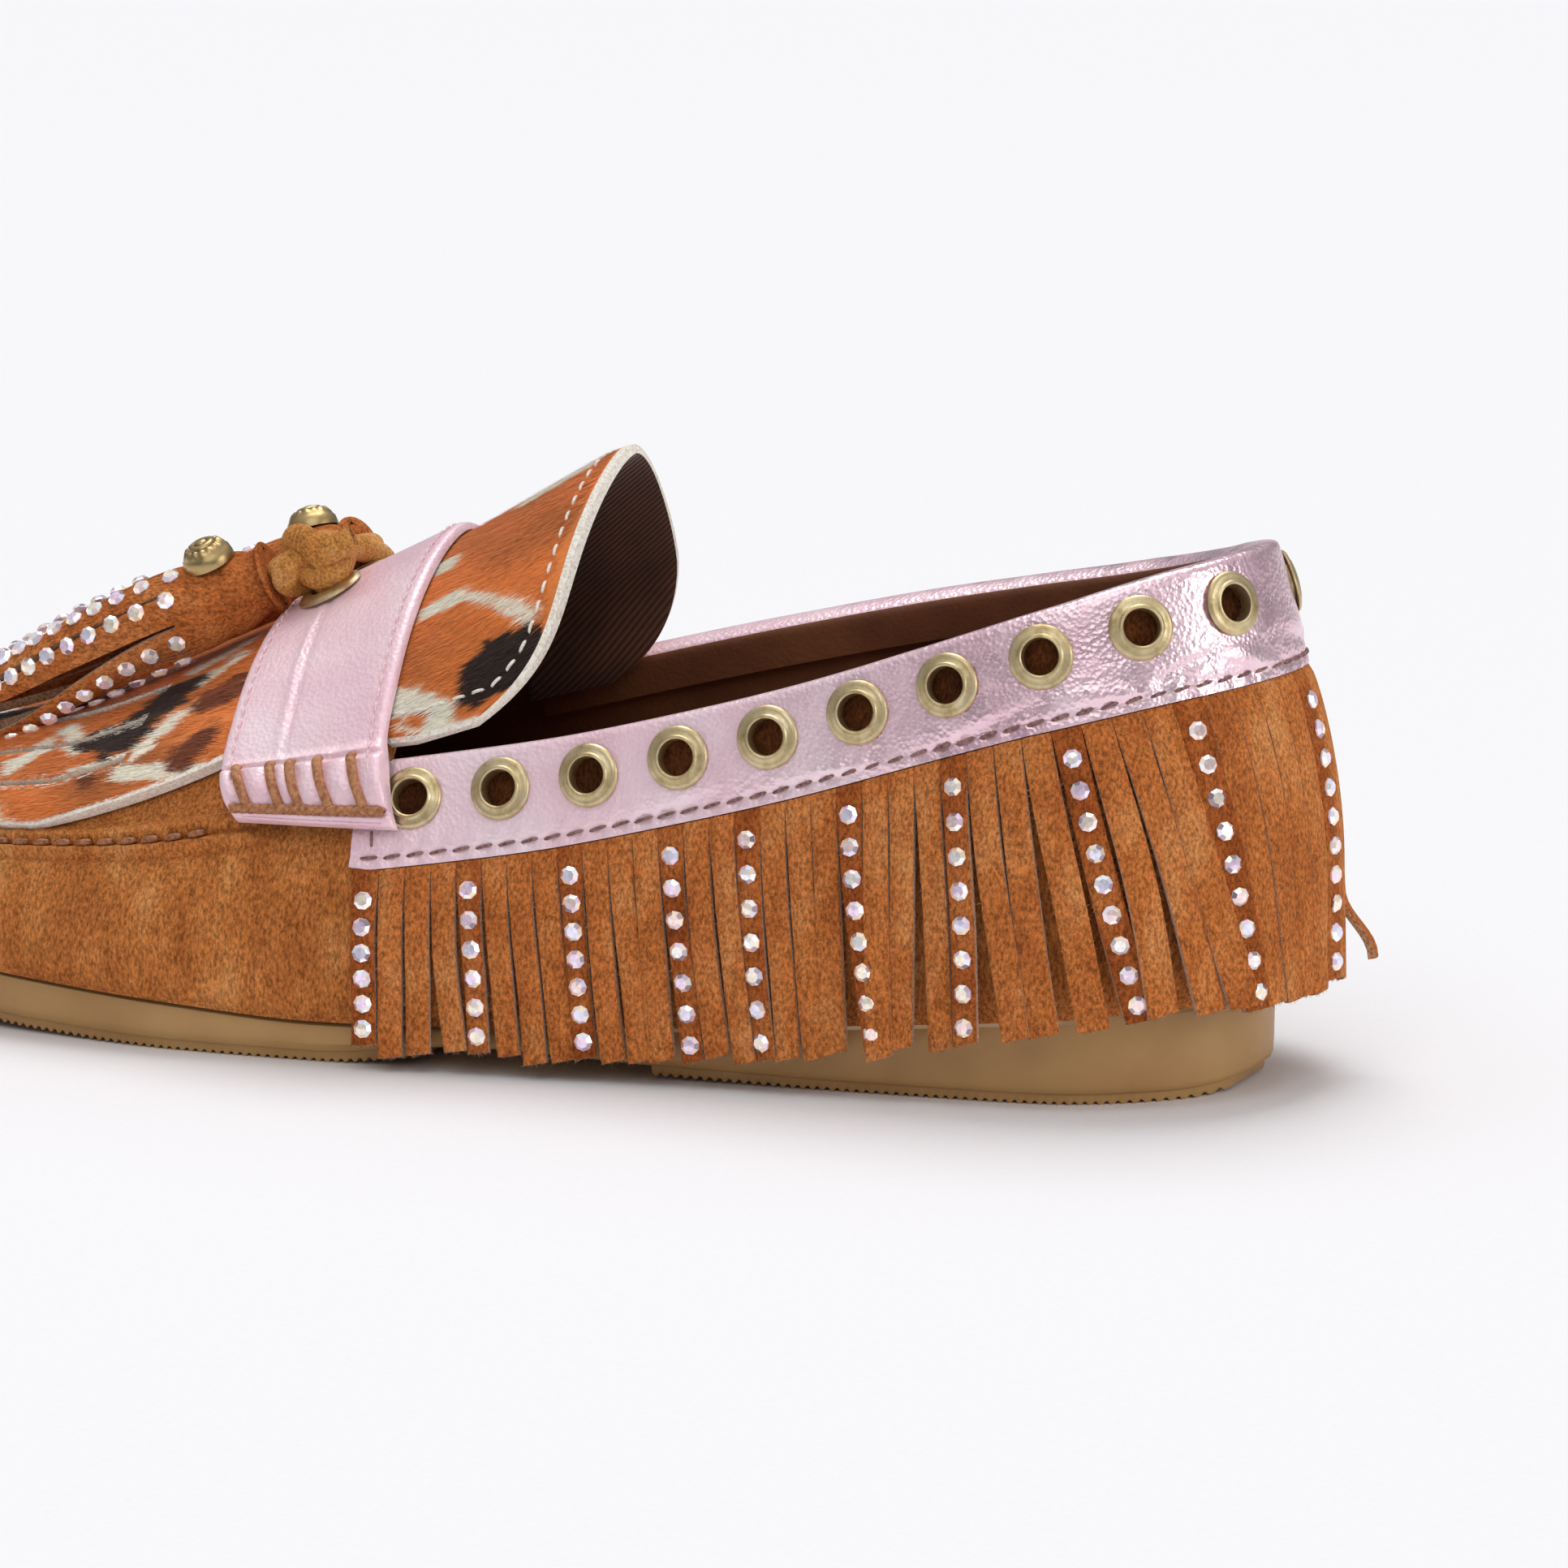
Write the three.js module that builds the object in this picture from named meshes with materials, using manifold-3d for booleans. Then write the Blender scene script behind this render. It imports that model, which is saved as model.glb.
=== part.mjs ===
// Kiltie loafer for the left foot, in millimetres. The origin is on the floor under the middle of the heel.
// +X points to the toe, +Y to the outer side and +Z up.
//
// A hollow suede upper, hand-sewn as a moccasin, stands on a moulded rubber sole. A leather collar with
// brass eyelets wraps its topline, a cut fringe hangs from the collar, and a saddle strap crosses the
// instep over a haired tongue and kiltie. A knotted thong on the strap carries two tassels.
import * as THREE from "three";
import { mergeVertices } from "three/addons/utils/BufferGeometryUtils.js";
import Module from "manifold-3d";

const wasm = await Module();
wasm.setup();

// Driving sizes of the last
const SOLE_LENGTH = 240;
const BALL_WIDTH = 82;
const HEEL_REST = 30; // from the back of the sole to the middle of the heel's tread
const HEEL_EDGE = 13; // top of the sole's edge over the floor, at the back
const TOE_SPRING = 8;
const INSTEP_HEIGHT = 67; // crown of the upper over the floor, at the throat
const BACK_HEIGHT = 73.5; // topline over the floor, at the back
const THROAT_HEIGHT = 41; // topline over the floor, at the outer end of the throat
const THROAT_AT = 0.495; // share of SOLE_LENGTH
const HEEL_SWELL = 6; // how far the counter stands out over the sole

// Stock thicknesses, and the clearance that neighbouring pieces keep
const GAP = 0.3;
const UPPER_WALL = 2.2;
const COLLAR_STOCK = 1.4;
const FRINGE_STOCK = 1.3;
const HAIRED_HIDE = 1.8;
const STRAP_STOCK = 1.5;

// Sole
const TREAD = 1.5;
const TREAD_INSET = 1.2;
const SOLE_INSET = 0.8; // the upper overhangs the sole's edge by this much
const HEEL_TREAD = { from: 0.006, to: 0.33 }; // shares of SOLE_LENGTH
const FOREFOOT_TREAD = { from: 0.47, to: 0.994 };
const INSOLE_STOCK = 2.6;

// Collar and its eyelets
const COLLAR_HEIGHT = 14.6;
const COLLAR_LINING = 5; // how far the collar is turned in over the topline
const COLLAR_STOP = 0.8; // how far behind the throat its turned part ends
const COLLAR_TAB = 3; // how far its ends run on under the strap
const EYELET_RADIUS = 4.45;
const EYELET_BORE = 2.5;
const EYELET_RISE = 0.9;
const EYELET_SLOPE = 0.7;
const EYELET_MOUTH = 0.4;
const EYELET_DROP = 5.2; // from the topline to an eyelet's middle
const EYELETS_A_SIDE = 10;
const BACK_EYELET_GAP = 23; // between the last eyelets of the two sides, round the back
const EYELET_MARGIN = 5.1; // from the throat back to the middle of the first eyelet

// Fringe
const STRIP_PITCH = 3.75;
const STRIPS_A_SIDE = 36;
const FRINGE_LENGTH = 43; // at the back of the heel
const FRINGE_FLARE = 3.4; // how far its free end stands off the wall there

// Saddle strap: where its edges cross the ridge line and end on the sides, as shares of SOLE_LENGTH, and
// the power by which its rear edge sweeps back
const STRAP = { rearCrest: 0.506, rearEnd: 0.478, frontCrest: 0.618, frontEnd: 0.578, sweep: 1.4 };
const STRAP_DROOP = 0.05; // how much lower its rear corners reach than its front ones, as a turn of the rib

// One row for each station along the last. at is a share of SOLE_LENGTH from the back of the heel, lateral
// and medial are half-widths as shares of BALL_WIDTH, and edge is the top of the sole's edge as a share of
// HEEL_EDGE. lift is the underside over the floor as a share of TOE_SPRING, and swell how far the wall
// stands out over the sole as a share of HEEL_SWELL. lean is how early a rib turns in, and seam the share
// of its turn at which the apron seam lies.
const STATIONS = [
  { at: 0.0, lateral: 0.0, medial: 0.0, edge: 1.0, lift: 0.15, swell: 1.0, lean: 1.5, seam: 0.32 },
  { at: 0.03, lateral: 0.21, medial: 0.2, edge: 0.985, lift: 0.0, swell: 0.95, lean: 1.5, seam: 0.32 },
  { at: 0.1, lateral: 0.332, medial: 0.315, edge: 0.89, lift: 0.0, swell: 0.75, lean: 1.35, seam: 0.32 },
  { at: 0.2, lateral: 0.366, medial: 0.328, edge: 0.74, lift: 0.0, swell: 0.55, lean: 1.15, seam: 0.32 },
  { at: 0.32, lateral: 0.402, medial: 0.29, edge: 0.57, lift: 0.06, swell: 0.5, lean: 1.15, seam: 0.32 },
  { at: 0.44, lateral: 0.452, medial: 0.274, edge: 0.46, lift: 0.2, swell: 0.35, lean: 1.25, seam: 0.32 },
  { at: 0.53, lateral: 0.498, medial: 0.317, edge: 0.45, lift: 0.0, swell: 0.3, lean: 1.3, seam: 0.32 },
  { at: 0.62, lateral: 0.51, medial: 0.409, edge: 0.53, lift: 0.0, swell: 0.4, lean: 1.2, seam: 0.31 },
  { at: 0.72, lateral: 0.482, medial: 0.482, edge: 0.63, lift: 0.08, swell: 0.42, lean: 1.05, seam: 0.33 },
  { at: 0.82, lateral: 0.402, medial: 0.47, edge: 0.75, lift: 0.28, swell: 0.42, lean: 1.0, seam: 0.36 },
  { at: 0.92, lateral: 0.238, medial: 0.348, edge: 0.92, lift: 0.62, swell: 0.42, lean: 0.95, seam: 0.39 },
  { at: 1.0, lateral: -0.061, medial: 0.061, edge: 1.1, lift: 1.0, swell: 0.42, lean: 0.95, seam: 0.41 },
];

// The ridge line that the ribs of the upper rise to. It is real over the vamp and a guide over the open
// quarters. at is a share of SOLE_LENGTH, height a share of INSTEP_HEIGHT and side a share of BALL_WIDTH.
const RIDGE = [
  { at: 0.12, height: 1.72, side: 0.0 },
  { at: 0.3, height: 1.4, side: 0.0 },
  { at: 0.415, height: 1.19, side: -0.02 },
  { at: 0.51, height: 1.0, side: -0.03 },
  { at: 0.61, height: 0.83, side: -0.035 },
  { at: 0.7, height: 0.69, side: -0.04 },
  { at: 0.78, height: 0.585, side: -0.05 },
  { at: 0.85, height: 0.5, side: -0.06 },
];

// The topline of the open quarters. at is a share of the way from the back of the heel to the throat,
// lateral and medial are shares of the way from THROAT_HEIGHT up to BACK_HEIGHT, and band is a share of
// COLLAR_HEIGHT.
const TOPLINE = [
  { at: 0.0, lateral: 1.0, medial: 1.0, band: 1.12 },
  { at: 0.1, lateral: 0.9, medial: 0.89, band: 1.09 },
  { at: 0.2, lateral: 0.775, medial: 0.8, band: 1.04 },
  { at: 0.35, lateral: 0.595, medial: 0.705, band: 1.0 },
  { at: 0.5, lateral: 0.42, medial: 0.605, band: 0.98 },
  { at: 0.65, lateral: 0.27, medial: 0.49, band: 0.97 },
  { at: 0.8, lateral: 0.137, medial: 0.36, band: 0.98 },
  { at: 1.0, lateral: 0.0, medial: 0.17, band: 1.0 },
];

// The fringe. at is a share of its half-length from the back centre, length a share of FRINGE_LENGTH, flare
// a share of FRINGE_FLARE, and swing how far it trails to the heel for each millimetre of drop.
const FRINGE = [
  { at: 0.0, length: 1.0, flare: 1.0, swing: 0.0 },
  { at: 0.11, length: 1.0, flare: 0.94, swing: 0.12 },
  { at: 0.22, length: 0.97, flare: 0.82, swing: 0.2 },
  { at: 0.33, length: 0.93, flare: 0.65, swing: 0.1 },
  { at: 0.5, length: 0.86, flare: 0.47, swing: 0.08 },
  { at: 0.67, length: 0.77, flare: 0.35, swing: 0.12 },
  { at: 0.83, length: 0.68, flare: 0.29, swing: 0.12 },
  { at: 1.0, length: 0.58, flare: 0.24, swing: 0.02 },
];

// Curves through the tables

// Monotone cubic through (xs, ys), so that a run of equal values stays flat.
function curveThrough(xs, ys) {
  const last = xs.length - 1;
  const chord = xs.slice(1).map((x, k) => (ys[k + 1] - ys[k]) / (x - xs[k]));
  const slope = xs.map((_, k) => {
    if (k === 0) return chord[0];
    if (k === last) return chord[last - 1];
    const product = chord[k - 1] * chord[k];
    return product <= 0 ? 0 : (2 * product) / (chord[k - 1] + chord[k]);
  });
  return (x) => {
    const inside = Math.min(Math.max(x, xs[0]), xs[last]);
    let k = 0;
    while (k < last - 1 && inside > xs[k + 1]) k += 1;
    const step = xs[k + 1] - xs[k];
    const f = (inside - xs[k]) / step;
    const [a, b] = [1 - f, f];
    return (
      ys[k] * a * a * (1 + 2 * b) +
      ys[k + 1] * b * b * (1 + 2 * a) +
      slope[k] * step * a * a * b -
      slope[k + 1] * step * b * b * a
    );
  };
}

// A station's angle on the half-turn from heel to toe. Widths that are smooth in it give round ends.
const angleOf = (share) => Math.acos(1 - 2 * share) / Math.PI;
const shareOf = (angle) => (1 - Math.cos(Math.PI * angle)) / 2;

function stationCurve(key, size) {
  return curveThrough(
    STATIONS.map((row) => angleOf(row.at)),
    STATIONS.map((row) => row[key] * size),
  );
}
const lateral = stationCurve("lateral", BALL_WIDTH);
const medial = stationCurve("medial", BALL_WIDTH);
const edgeHeight = stationCurve("edge", HEEL_EDGE);
const lift = stationCurve("lift", TOE_SPRING);
const swell = stationCurve("swell", HEEL_SWELL);
const lean = stationCurve("lean", 1);
const seamTurn = stationCurve("seam", 1);

function tableCurve(rows, key, reach, size) {
  return curveThrough(
    rows.map((row) => row.at * reach),
    rows.map((row) => row[key] * size),
  );
}
const ridgeHeight = tableCurve(RIDGE, "height", SOLE_LENGTH, INSTEP_HEIGHT);
const ridgeSide = tableCurve(RIDGE, "side", SOLE_LENGTH, BALL_WIDTH);
const quarterLength = THROAT_AT * SOLE_LENGTH;
const lateralRise = tableCurve(TOPLINE, "lateral", quarterLength, BACK_HEIGHT - THROAT_HEIGHT);
const medialRise = tableCurve(TOPLINE, "medial", quarterLength, BACK_HEIGHT - THROAT_HEIGHT);
const bandHeight = tableCurve(TOPLINE, "band", quarterLength, COLLAR_HEIGHT);

// The last. A place round it is a number: 0 at the back of the heel, 0 to 1 along the outer side, 1 at the
// toe and 1 to 2 back along the inner side.

const turned = (place) => ((place % 2) + 2) % 2;
const onOuterSide = (place) => turned(place) <= 1;
const angleAt = (place) => (onOuterSide(place) ? turned(place) : 2 - turned(place));

// Where the upper meets the sole, in plan.
function featherPoint(place) {
  const angle = angleAt(place);
  const y = onOuterSide(place) ? lateral(angle) : -medial(angle);
  return new THREE.Vector2(shareOf(angle) * SOLE_LENGTH - HEEL_REST, y);
}

// The outward direction of that line, in plan.
function outwards(place) {
  const step = 1e-3;
  const along = featherPoint(place + step).sub(featherPoint(place - step));
  return new THREE.Vector2(-along.y, along.x).normalize();
}

// Near both ends the ribs fan out from the ridge, which is shorter than the sole.
const HEEL_FAN = 0.12;
const TOE_FAN = 0.16;
const FAN_ANGLE = 0.4; // share of the half-turn over which each fan opens
const smooth = (f) => f * f * (3 - 2 * f);
const clamp01 = (f) => Math.min(Math.max(f, 0), 1);

function ridgePoint(angle) {
  const fromToe = TOE_FAN * smooth(clamp01((angle + FAN_ANGLE - 1) / FAN_ANGLE));
  const fromHeel = HEEL_FAN * smooth(clamp01((FAN_ANGLE - angle) / FAN_ANGLE));
  const x = (shareOf(angle) + fromHeel - fromToe) * SOLE_LENGTH;
  return new THREE.Vector3(x - HEEL_REST, ridgeSide(x), ridgeHeight(x));
}

// A point of the upper's outer face: turn runs from 0 at the sole to 1 at the ridge.
function ribPoint(place, turn) {
  const ridge = ridgePoint(angleAt(place));
  if (turn === 1) return ridge;
  const angle = angleAt(place);
  const foot = featherPoint(place);
  const quarter = (turn * Math.PI) / 2;
  const inwards = 1 - Math.cos(quarter) ** lean(angle);
  const standOut = swell(angle) * Math.sin(Math.PI * Math.sqrt(turn));
  const bend = outwards(place).multiplyScalar(standOut);
  const base = edgeHeight(angle) + GAP;
  return new THREE.Vector3(
    foot.x + (ridge.x - foot.x) * inwards + bend.x,
    foot.y + (ridge.y - foot.y) * inwards + bend.y,
    base + (ridge.z - base) * Math.sin(quarter),
  );
}

function ribNormal(place, turn) {
  const step = 1e-3;
  if (turn > 1 - step) {
    const ahead = ridgePoint(angleAt(place) + step).sub(ridgePoint(angleAt(place) - step));
    return new THREE.Vector3(-ahead.z, 0, ahead.x).normalize();
  }
  const round = ribPoint(place + step, turn).sub(ribPoint(place - step, turn));
  const up = ribPoint(place, turn + step / 2).sub(ribPoint(place, Math.max(turn - step / 2, 0)));
  return round.cross(up).normalize().negate();
}

// A point on the upper's outer face, or off it by offset.
function onRib(place, turn, offset) {
  return ribPoint(place, turn).addScaledVector(ribNormal(place, turn), offset);
}

// The turn at which a rib reaches a height over the floor.
function turnAtHeight(place, height) {
  const base = edgeHeight(angleAt(place)) + GAP;
  const ridge = ridgePoint(angleAt(place));
  return (Math.asin(clamp01((height - base) / (ridge.z - base))) * 2) / Math.PI;
}

const throatAngle = angleOf(THROAT_AT);
const strapFront = angleOf(STRAP.frontEnd);
const alongLast = (place) => shareOf(angleAt(place)) * SOLE_LENGTH;
function toplineHeight(place) {
  const rise = onOuterSide(place) ? lateralRise : medialRise;
  return THROAT_HEIGHT + rise(alongLast(place));
}
const isOpen = (place) => angleAt(place) <= throatAngle + 1e-9;

// The top of the side wall: the topline of the open quarters, and the apron seam in front of the throat.
const toplineTurn = (place) => turnAtHeight(place, toplineHeight(place));
const wallTurn = (place) => (isOpen(place) ? toplineTurn(place) : seamTurn(angleAt(place)));

// A point a given way down the wall from the topline, standing off the upper's outer face by offset.
const WALL_STEPS = 40;
const RIM_STEP = 0.02; // a short way down the wall, as a turn, for its direction at the rim
function downWall(place, drop, offset) {
  const top = toplineTurn(place);
  let turn = top;
  if (drop > 0) {
    let here = ribPoint(place, top);
    let gone = 0;
    for (let k = 1; k <= WALL_STEPS; k += 1) {
      const next = top * (1 - k / WALL_STEPS);
      const there = ribPoint(place, next);
      const step = there.distanceTo(here);
      if (gone + step >= drop || k === WALL_STEPS) {
        const share = Math.min(1, (drop - gone) / step);
        turn = turn + (next - turn) * share;
        break;
      }
      gone += step;
      turn = next;
      here = there;
    }
  }
  const point = ribPoint(place, turn);
  if (drop < 0) {
    const up = point.clone().sub(ribPoint(place, top - RIM_STEP)).normalize();
    point.addScaledVector(up, -drop);
  }
  return point.addScaledVector(ribNormal(place, turn), offset);
}

// The places along the wall, a given drop below its top, by their distance from the back of the heel. A
// negative distance is on the inner side.
const COURSE_STEPS = 160;
const COURSE_END = 0.62; // a place well in front of the throat
function placesAlong(drop) {
  const outer = course(1, drop);
  const inner = course(-1, drop);
  const outerPlace = curveThrough(outer.gone, outer.places);
  const innerPlace = curveThrough(inner.gone, inner.places);
  return (distance) => (distance >= 0 ? outerPlace(distance) : innerPlace(-distance));
}

// The places along one side, the outer (1) or the inner (-1), and their distances from the back of the heel.
function course(side, drop) {
  const places = [0];
  const gone = [0];
  let here = downWall(0, drop, 0);
  for (let k = 1; k <= COURSE_STEPS; k += 1) {
    const place = (side * COURSE_END * k) / COURSE_STEPS;
    const there = downWall(place, drop, 0);
    gone.push(gone[k - 1] + there.distanceTo(here));
    places.push(place);
    here = there;
  }
  return { places, gone };
}

// The distance along one side from the back of the heel to the throat.
function throatDistance(side, drop) {
  const { places, gone } = course(side, drop);
  const reach = places.map((place) => Math.abs(place));
  return curveThrough(reach, gone)(throatAngle);
}

// Solids

// A closed skin over a grid of cells. face and back give its two sides at a corner, keep says which cells
// are there, and joined names the top edges that meet the other side instead of ending in a rim.
function skin({ columns, rows, face, back, round = false, keep = () => true, joined = () => false }) {
  const corners = [];
  const index = new Map();
  const corner = (side, i, j) => {
    const column = round ? i % columns : i;
    const key = `${side} ${column} ${j}`;
    if (!index.has(key)) {
      index.set(key, corners.length);
      corners.push(side === "face" ? face(column, j) : back(column, j));
    }
    return index.get(key);
  };
  const triangles = [];
  const quad = (a, b, c, d) => triangles.push(a, b, c, a, c, d);
  const wrap = (i) => (round ? (i + columns) % columns : i);
  const there = (i, j) => {
    if (j < 0 || j >= rows) return false;
    if (!round && (i < 0 || i >= columns)) return false;
    return keep(wrap(i), j);
  };
  for (let i = 0; i < columns; i += 1) {
    for (let j = 0; j < rows; j += 1) {
      if (!there(i, j)) continue;
      const around = [[i, j], [i + 1, j], [i + 1, j + 1], [i, j + 1]];
      const f = around.map(([column, row]) => corner("face", column, row));
      const b = around.map(([column, row]) => corner("back", column, row));
      quad(f[0], f[1], f[2], f[3]);
      quad(b[3], b[2], b[1], b[0]);
      if (!there(i, j - 1)) quad(b[0], b[1], f[1], f[0]);
      if (!there(i + 1, j)) quad(b[1], b[2], f[2], f[1]);
      if (!there(i, j + 1) && !joined(i, j)) quad(b[2], b[3], f[3], f[2]);
      if (!there(i - 1, j)) quad(b[3], b[0], f[0], f[3]);
    }
  }
  return solidFrom(corners, triangles);
}

// A closed solid through rings of equal length. The first and last ring may be shut to a line, or are
// capped.
function loft(rings, capped = true) {
  const size = rings[0].length;
  const corners = rings.flat();
  const triangles = [];
  for (let i = 0; i < rings.length - 1; i += 1) {
    for (let k = 0; k < size; k += 1) {
      const [a, b] = [i * size + k, i * size + ((k + 1) % size)];
      triangles.push(a, b, b + size, a, b + size, a + size);
    }
  }
  if (capped) {
    const end = (rings.length - 1) * size;
    for (let k = 1; k < size - 1; k += 1) {
      triangles.push(0, k + 1, k);
      triangles.push(end, end + k, end + k + 1);
    }
  }
  return solidFrom(corners, triangles);
}

const MERGE = 1e-4;

// A solid of revolution round +Z through a closed profile of [radius, height] corners.
function revolved(profile, sides) {
  const rings = [];
  for (let k = 0; k <= sides; k += 1) {
    const phi = (2 * Math.PI * k) / sides;
    rings.push(profile.map(([r, z]) => new THREE.Vector3(r * Math.cos(phi), r * Math.sin(phi), z)));
  }
  return loft(rings, false);
}

// Stands a solid made round +Z on a point, with its axis along a direction.
function stoodOn(geometry, point, direction) {
  const turn = new THREE.Quaternion().setFromUnitVectors(new THREE.Vector3(0, 0, 1), direction);
  return geometry.clone().applyQuaternion(turn).translate(point.x, point.y, point.z);
}

// Shared corners merged, empty triangles dropped and the faces turned to point out.
function solidFrom(corners, triangles) {
  const position = new Float32Array(corners.flatMap((p) => [p.x, p.y, p.z]));
  const geometry = new THREE.BufferGeometry();
  geometry.setAttribute("position", new THREE.BufferAttribute(position, 3));
  geometry.setIndex(triangles);
  const merged = mergeVertices(geometry, MERGE);
  const kept = [];
  const source = merged.index.array;
  for (let k = 0; k < source.length; k += 3) {
    const [a, b, c] = [source[k], source[k + 1], source[k + 2]];
    if (a !== b && b !== c && c !== a) kept.push(a, b, c);
  }
  merged.setIndex(kept);
  if (enclosed(merged) < 0) {
    for (let k = 0; k < kept.length; k += 3) [kept[k], kept[k + 1]] = [kept[k + 1], kept[k]];
    merged.setIndex(kept);
  }
  return merged;
}

// The volume that a closed mesh encloses, negative when its faces point in.
function enclosed(geometry) {
  const p = geometry.attributes.position;
  const index = geometry.index.array;
  const at = (k) => new THREE.Vector3().fromBufferAttribute(p, index[k]);
  let sum = 0;
  for (let k = 0; k < index.length; k += 3) sum += at(k).dot(at(k + 1).cross(at(k + 2))) / 6;
  return sum;
}

function toManifold(geometry) {
  const bare = geometry.clone();
  bare.deleteAttribute("normal");
  bare.deleteAttribute("uv");
  const merged = mergeVertices(bare, MERGE);
  const mesh = new wasm.Mesh({
    numProp: 3,
    vertProperties: merged.attributes.position.array,
    triVerts: new Uint32Array(merged.index.array),
  });
  return new wasm.Manifold(mesh);
}

function fromManifold(solid) {
  const mesh = solid.getMesh();
  const geometry = new THREE.BufferGeometry();
  geometry.setAttribute("position", new THREE.BufferAttribute(mesh.vertProperties, 3));
  geometry.setIndex(new THREE.BufferAttribute(mesh.triVerts, 1));
  return geometry;
}

const shoe = new THREE.Group();

function addPiece(name, geometry, material) {
  geometry.computeVertexNormals();
  const mesh = new THREE.Mesh(geometry, material);
  mesh.name = name;
  shoe.add(mesh);
}

// Materials
function paint(color, roughness, metalness = 0) {
  return new THREE.MeshStandardMaterial({ color, roughness, metalness });
}
const suede = paint(0x9a5a24, 0.95);
const gumRubber = paint(0x8a6a42, 0.55);
const pinkFoil = paint(0xd9b0c4, 0.35, 0.5);
const cowHide = paint(0xa85c28, 0.7);
const brass = paint(0xa08c50, 0.35, 0.9);
const sockLeather = paint(0x6b3a1c, 0.7);

// Sole: a moulded unit with a side wall, and treads set in under its heel and forefoot

const SOLE_STATIONS = 22;
const TREAD_STATIONS = 11;
const TREAD_ROOT = 1; // how far a tread runs up into the unit

// The edge of a level outline inside the feather line.
function insetPoint(place, inset) {
  return featherPoint(place).addScaledVector(outwards(place), -inset);
}

// A ring across the sole at one station, from the top edge down the side and back up the other side.
function soleRing(angle, inset, top, underside) {
  const outer = insetPoint(angle, inset);
  const inner = angle === 0 || angle === 1 ? outer : insetPoint(2 - angle, inset);
  const heights = [top, (top + underside) / 2, underside];
  const down = heights.map((z) => new THREE.Vector3(outer.x, outer.y, z));
  const up = heights.reverse().map((z) => new THREE.Vector3(inner.x, inner.y, z));
  return [...down, ...up];
}

function makeTread({ from, to }) {
  const rings = [];
  for (let k = 0; k <= TREAD_STATIONS; k += 1) {
    const angle = angleOf(from + ((to - from) * k) / TREAD_STATIONS);
    rings.push(soleRing(angle, SOLE_INSET + TREAD_INSET, lift(angle) + TREAD + TREAD_ROOT, lift(angle)));
  }
  return toManifold(loft(rings));
}

function makeSole() {
  const rings = [];
  for (let k = 0; k <= SOLE_STATIONS; k += 1) {
    const angle = k / SOLE_STATIONS;
    rings.push(soleRing(angle, SOLE_INSET, edgeHeight(angle), lift(angle) + TREAD));
  }
  const unit = toManifold(loft(rings, false));
  const sole = unit.add(makeTread(HEEL_TREAD)).add(makeTread(FOREFOOT_TREAD));
  addPiece("outsole", fromManifold(sole), gumRubber);
}

// Upper: one hollow wall, open at the collar and underneath

const SIDE_COLUMNS = 26;
const WALL_ROWS = 5;
const APRON_ROWS = 5;
const SEAM_RISE = 1.3;
const SEAM_HALF_WIDTH = 0.035; // as a share of a rib's turn

// Columns stand at even angles round the last, with one moved on to the throat itself.
const throatColumn = Math.round(throatAngle * SIDE_COLUMNS);
function columnPlace(column) {
  const side = column <= SIDE_COLUMNS ? column : 2 * SIDE_COLUMNS - column;
  const angle = side === throatColumn ? throatAngle : side / SIDE_COLUMNS;
  return column <= SIDE_COLUMNS ? angle : 2 - angle;
}

// Turns of the rows: up the wall to the topline or the seam's ridge, then over the apron to the ridge line.
function upperTurn(place, row) {
  const wall = wallTurn(place);
  if (row === WALL_ROWS) return wall;
  const below = isOpen(place) ? wall * (1 - 1 / WALL_ROWS) : wall - SEAM_HALF_WIDTH;
  if (row < WALL_ROWS) return (below * row) / (WALL_ROWS - 1);
  const above = wall + SEAM_HALF_WIDTH;
  return above + ((1 - above) * (row - WALL_ROWS - 1)) / (APRON_ROWS - 1);
}

function makeUpper() {
  const outer = (column, row) => {
    const place = columnPlace(column);
    const ridged = row === WALL_ROWS && !isOpen(place) && angleAt(place) > strapFront;
    return onRib(place, upperTurn(place, row), ridged ? SEAM_RISE : 0);
  };
  const inner = (column, row) => onRib(columnPlace(column), upperTurn(columnPlace(column), row), -UPPER_WALL);
  const columns = 2 * SIDE_COLUMNS;
  const rows = WALL_ROWS + APRON_ROWS;
  const vamp = (column) => angleAt(columnPlace(column % columns)) >= throatAngle - 1e-9;
  const geometry = skin({
    columns,
    rows,
    round: true,
    face: outer,
    back: inner,
    keep: (i, j) => j < WALL_ROWS || (vamp(i) && vamp(i + 1)),
    joined: (i, j) => j === rows - 1,
  });
  addPiece("upper", geometry, suede);
}

// Insole: a board on the sole, inside the wall

const INSOLE_COLUMNS = 22;
const INSOLE_INSET = 3;
const INSOLE_ENDS = 0.016; // share of SOLE_LENGTH left free at each end

function makeInsole() {
  const rings = [];
  for (let k = 0; k <= INSOLE_COLUMNS; k += 1) {
    const angle = angleOf(INSOLE_ENDS + (1 - 2 * INSOLE_ENDS) * shareOf(k / INSOLE_COLUMNS));
    const low = edgeHeight(angle) + GAP;
    const high = low + INSOLE_STOCK;
    const outer = insetPoint(angle, INSOLE_INSET);
    const inner = insetPoint(2 - angle, INSOLE_INSET);
    rings.push([
      new THREE.Vector3(outer.x, outer.y, low),
      new THREE.Vector3(outer.x, outer.y, high),
      new THREE.Vector3(inner.x, inner.y, high),
      new THREE.Vector3(inner.x, inner.y, low),
    ]);
  }
  addPiece("insole", loft(rings), sockLeather);
}

// Collar: a band wrapped over the topline, bored for its eyelets

const alongTop = placesAlong(0);
const alongEyelets = placesAlong(EYELET_DROP);
const HOLE_SIDES = 8;
const PUNCH_REACH = 1; // how far the punch for an eyelet's hole passes each face of the band

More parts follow.
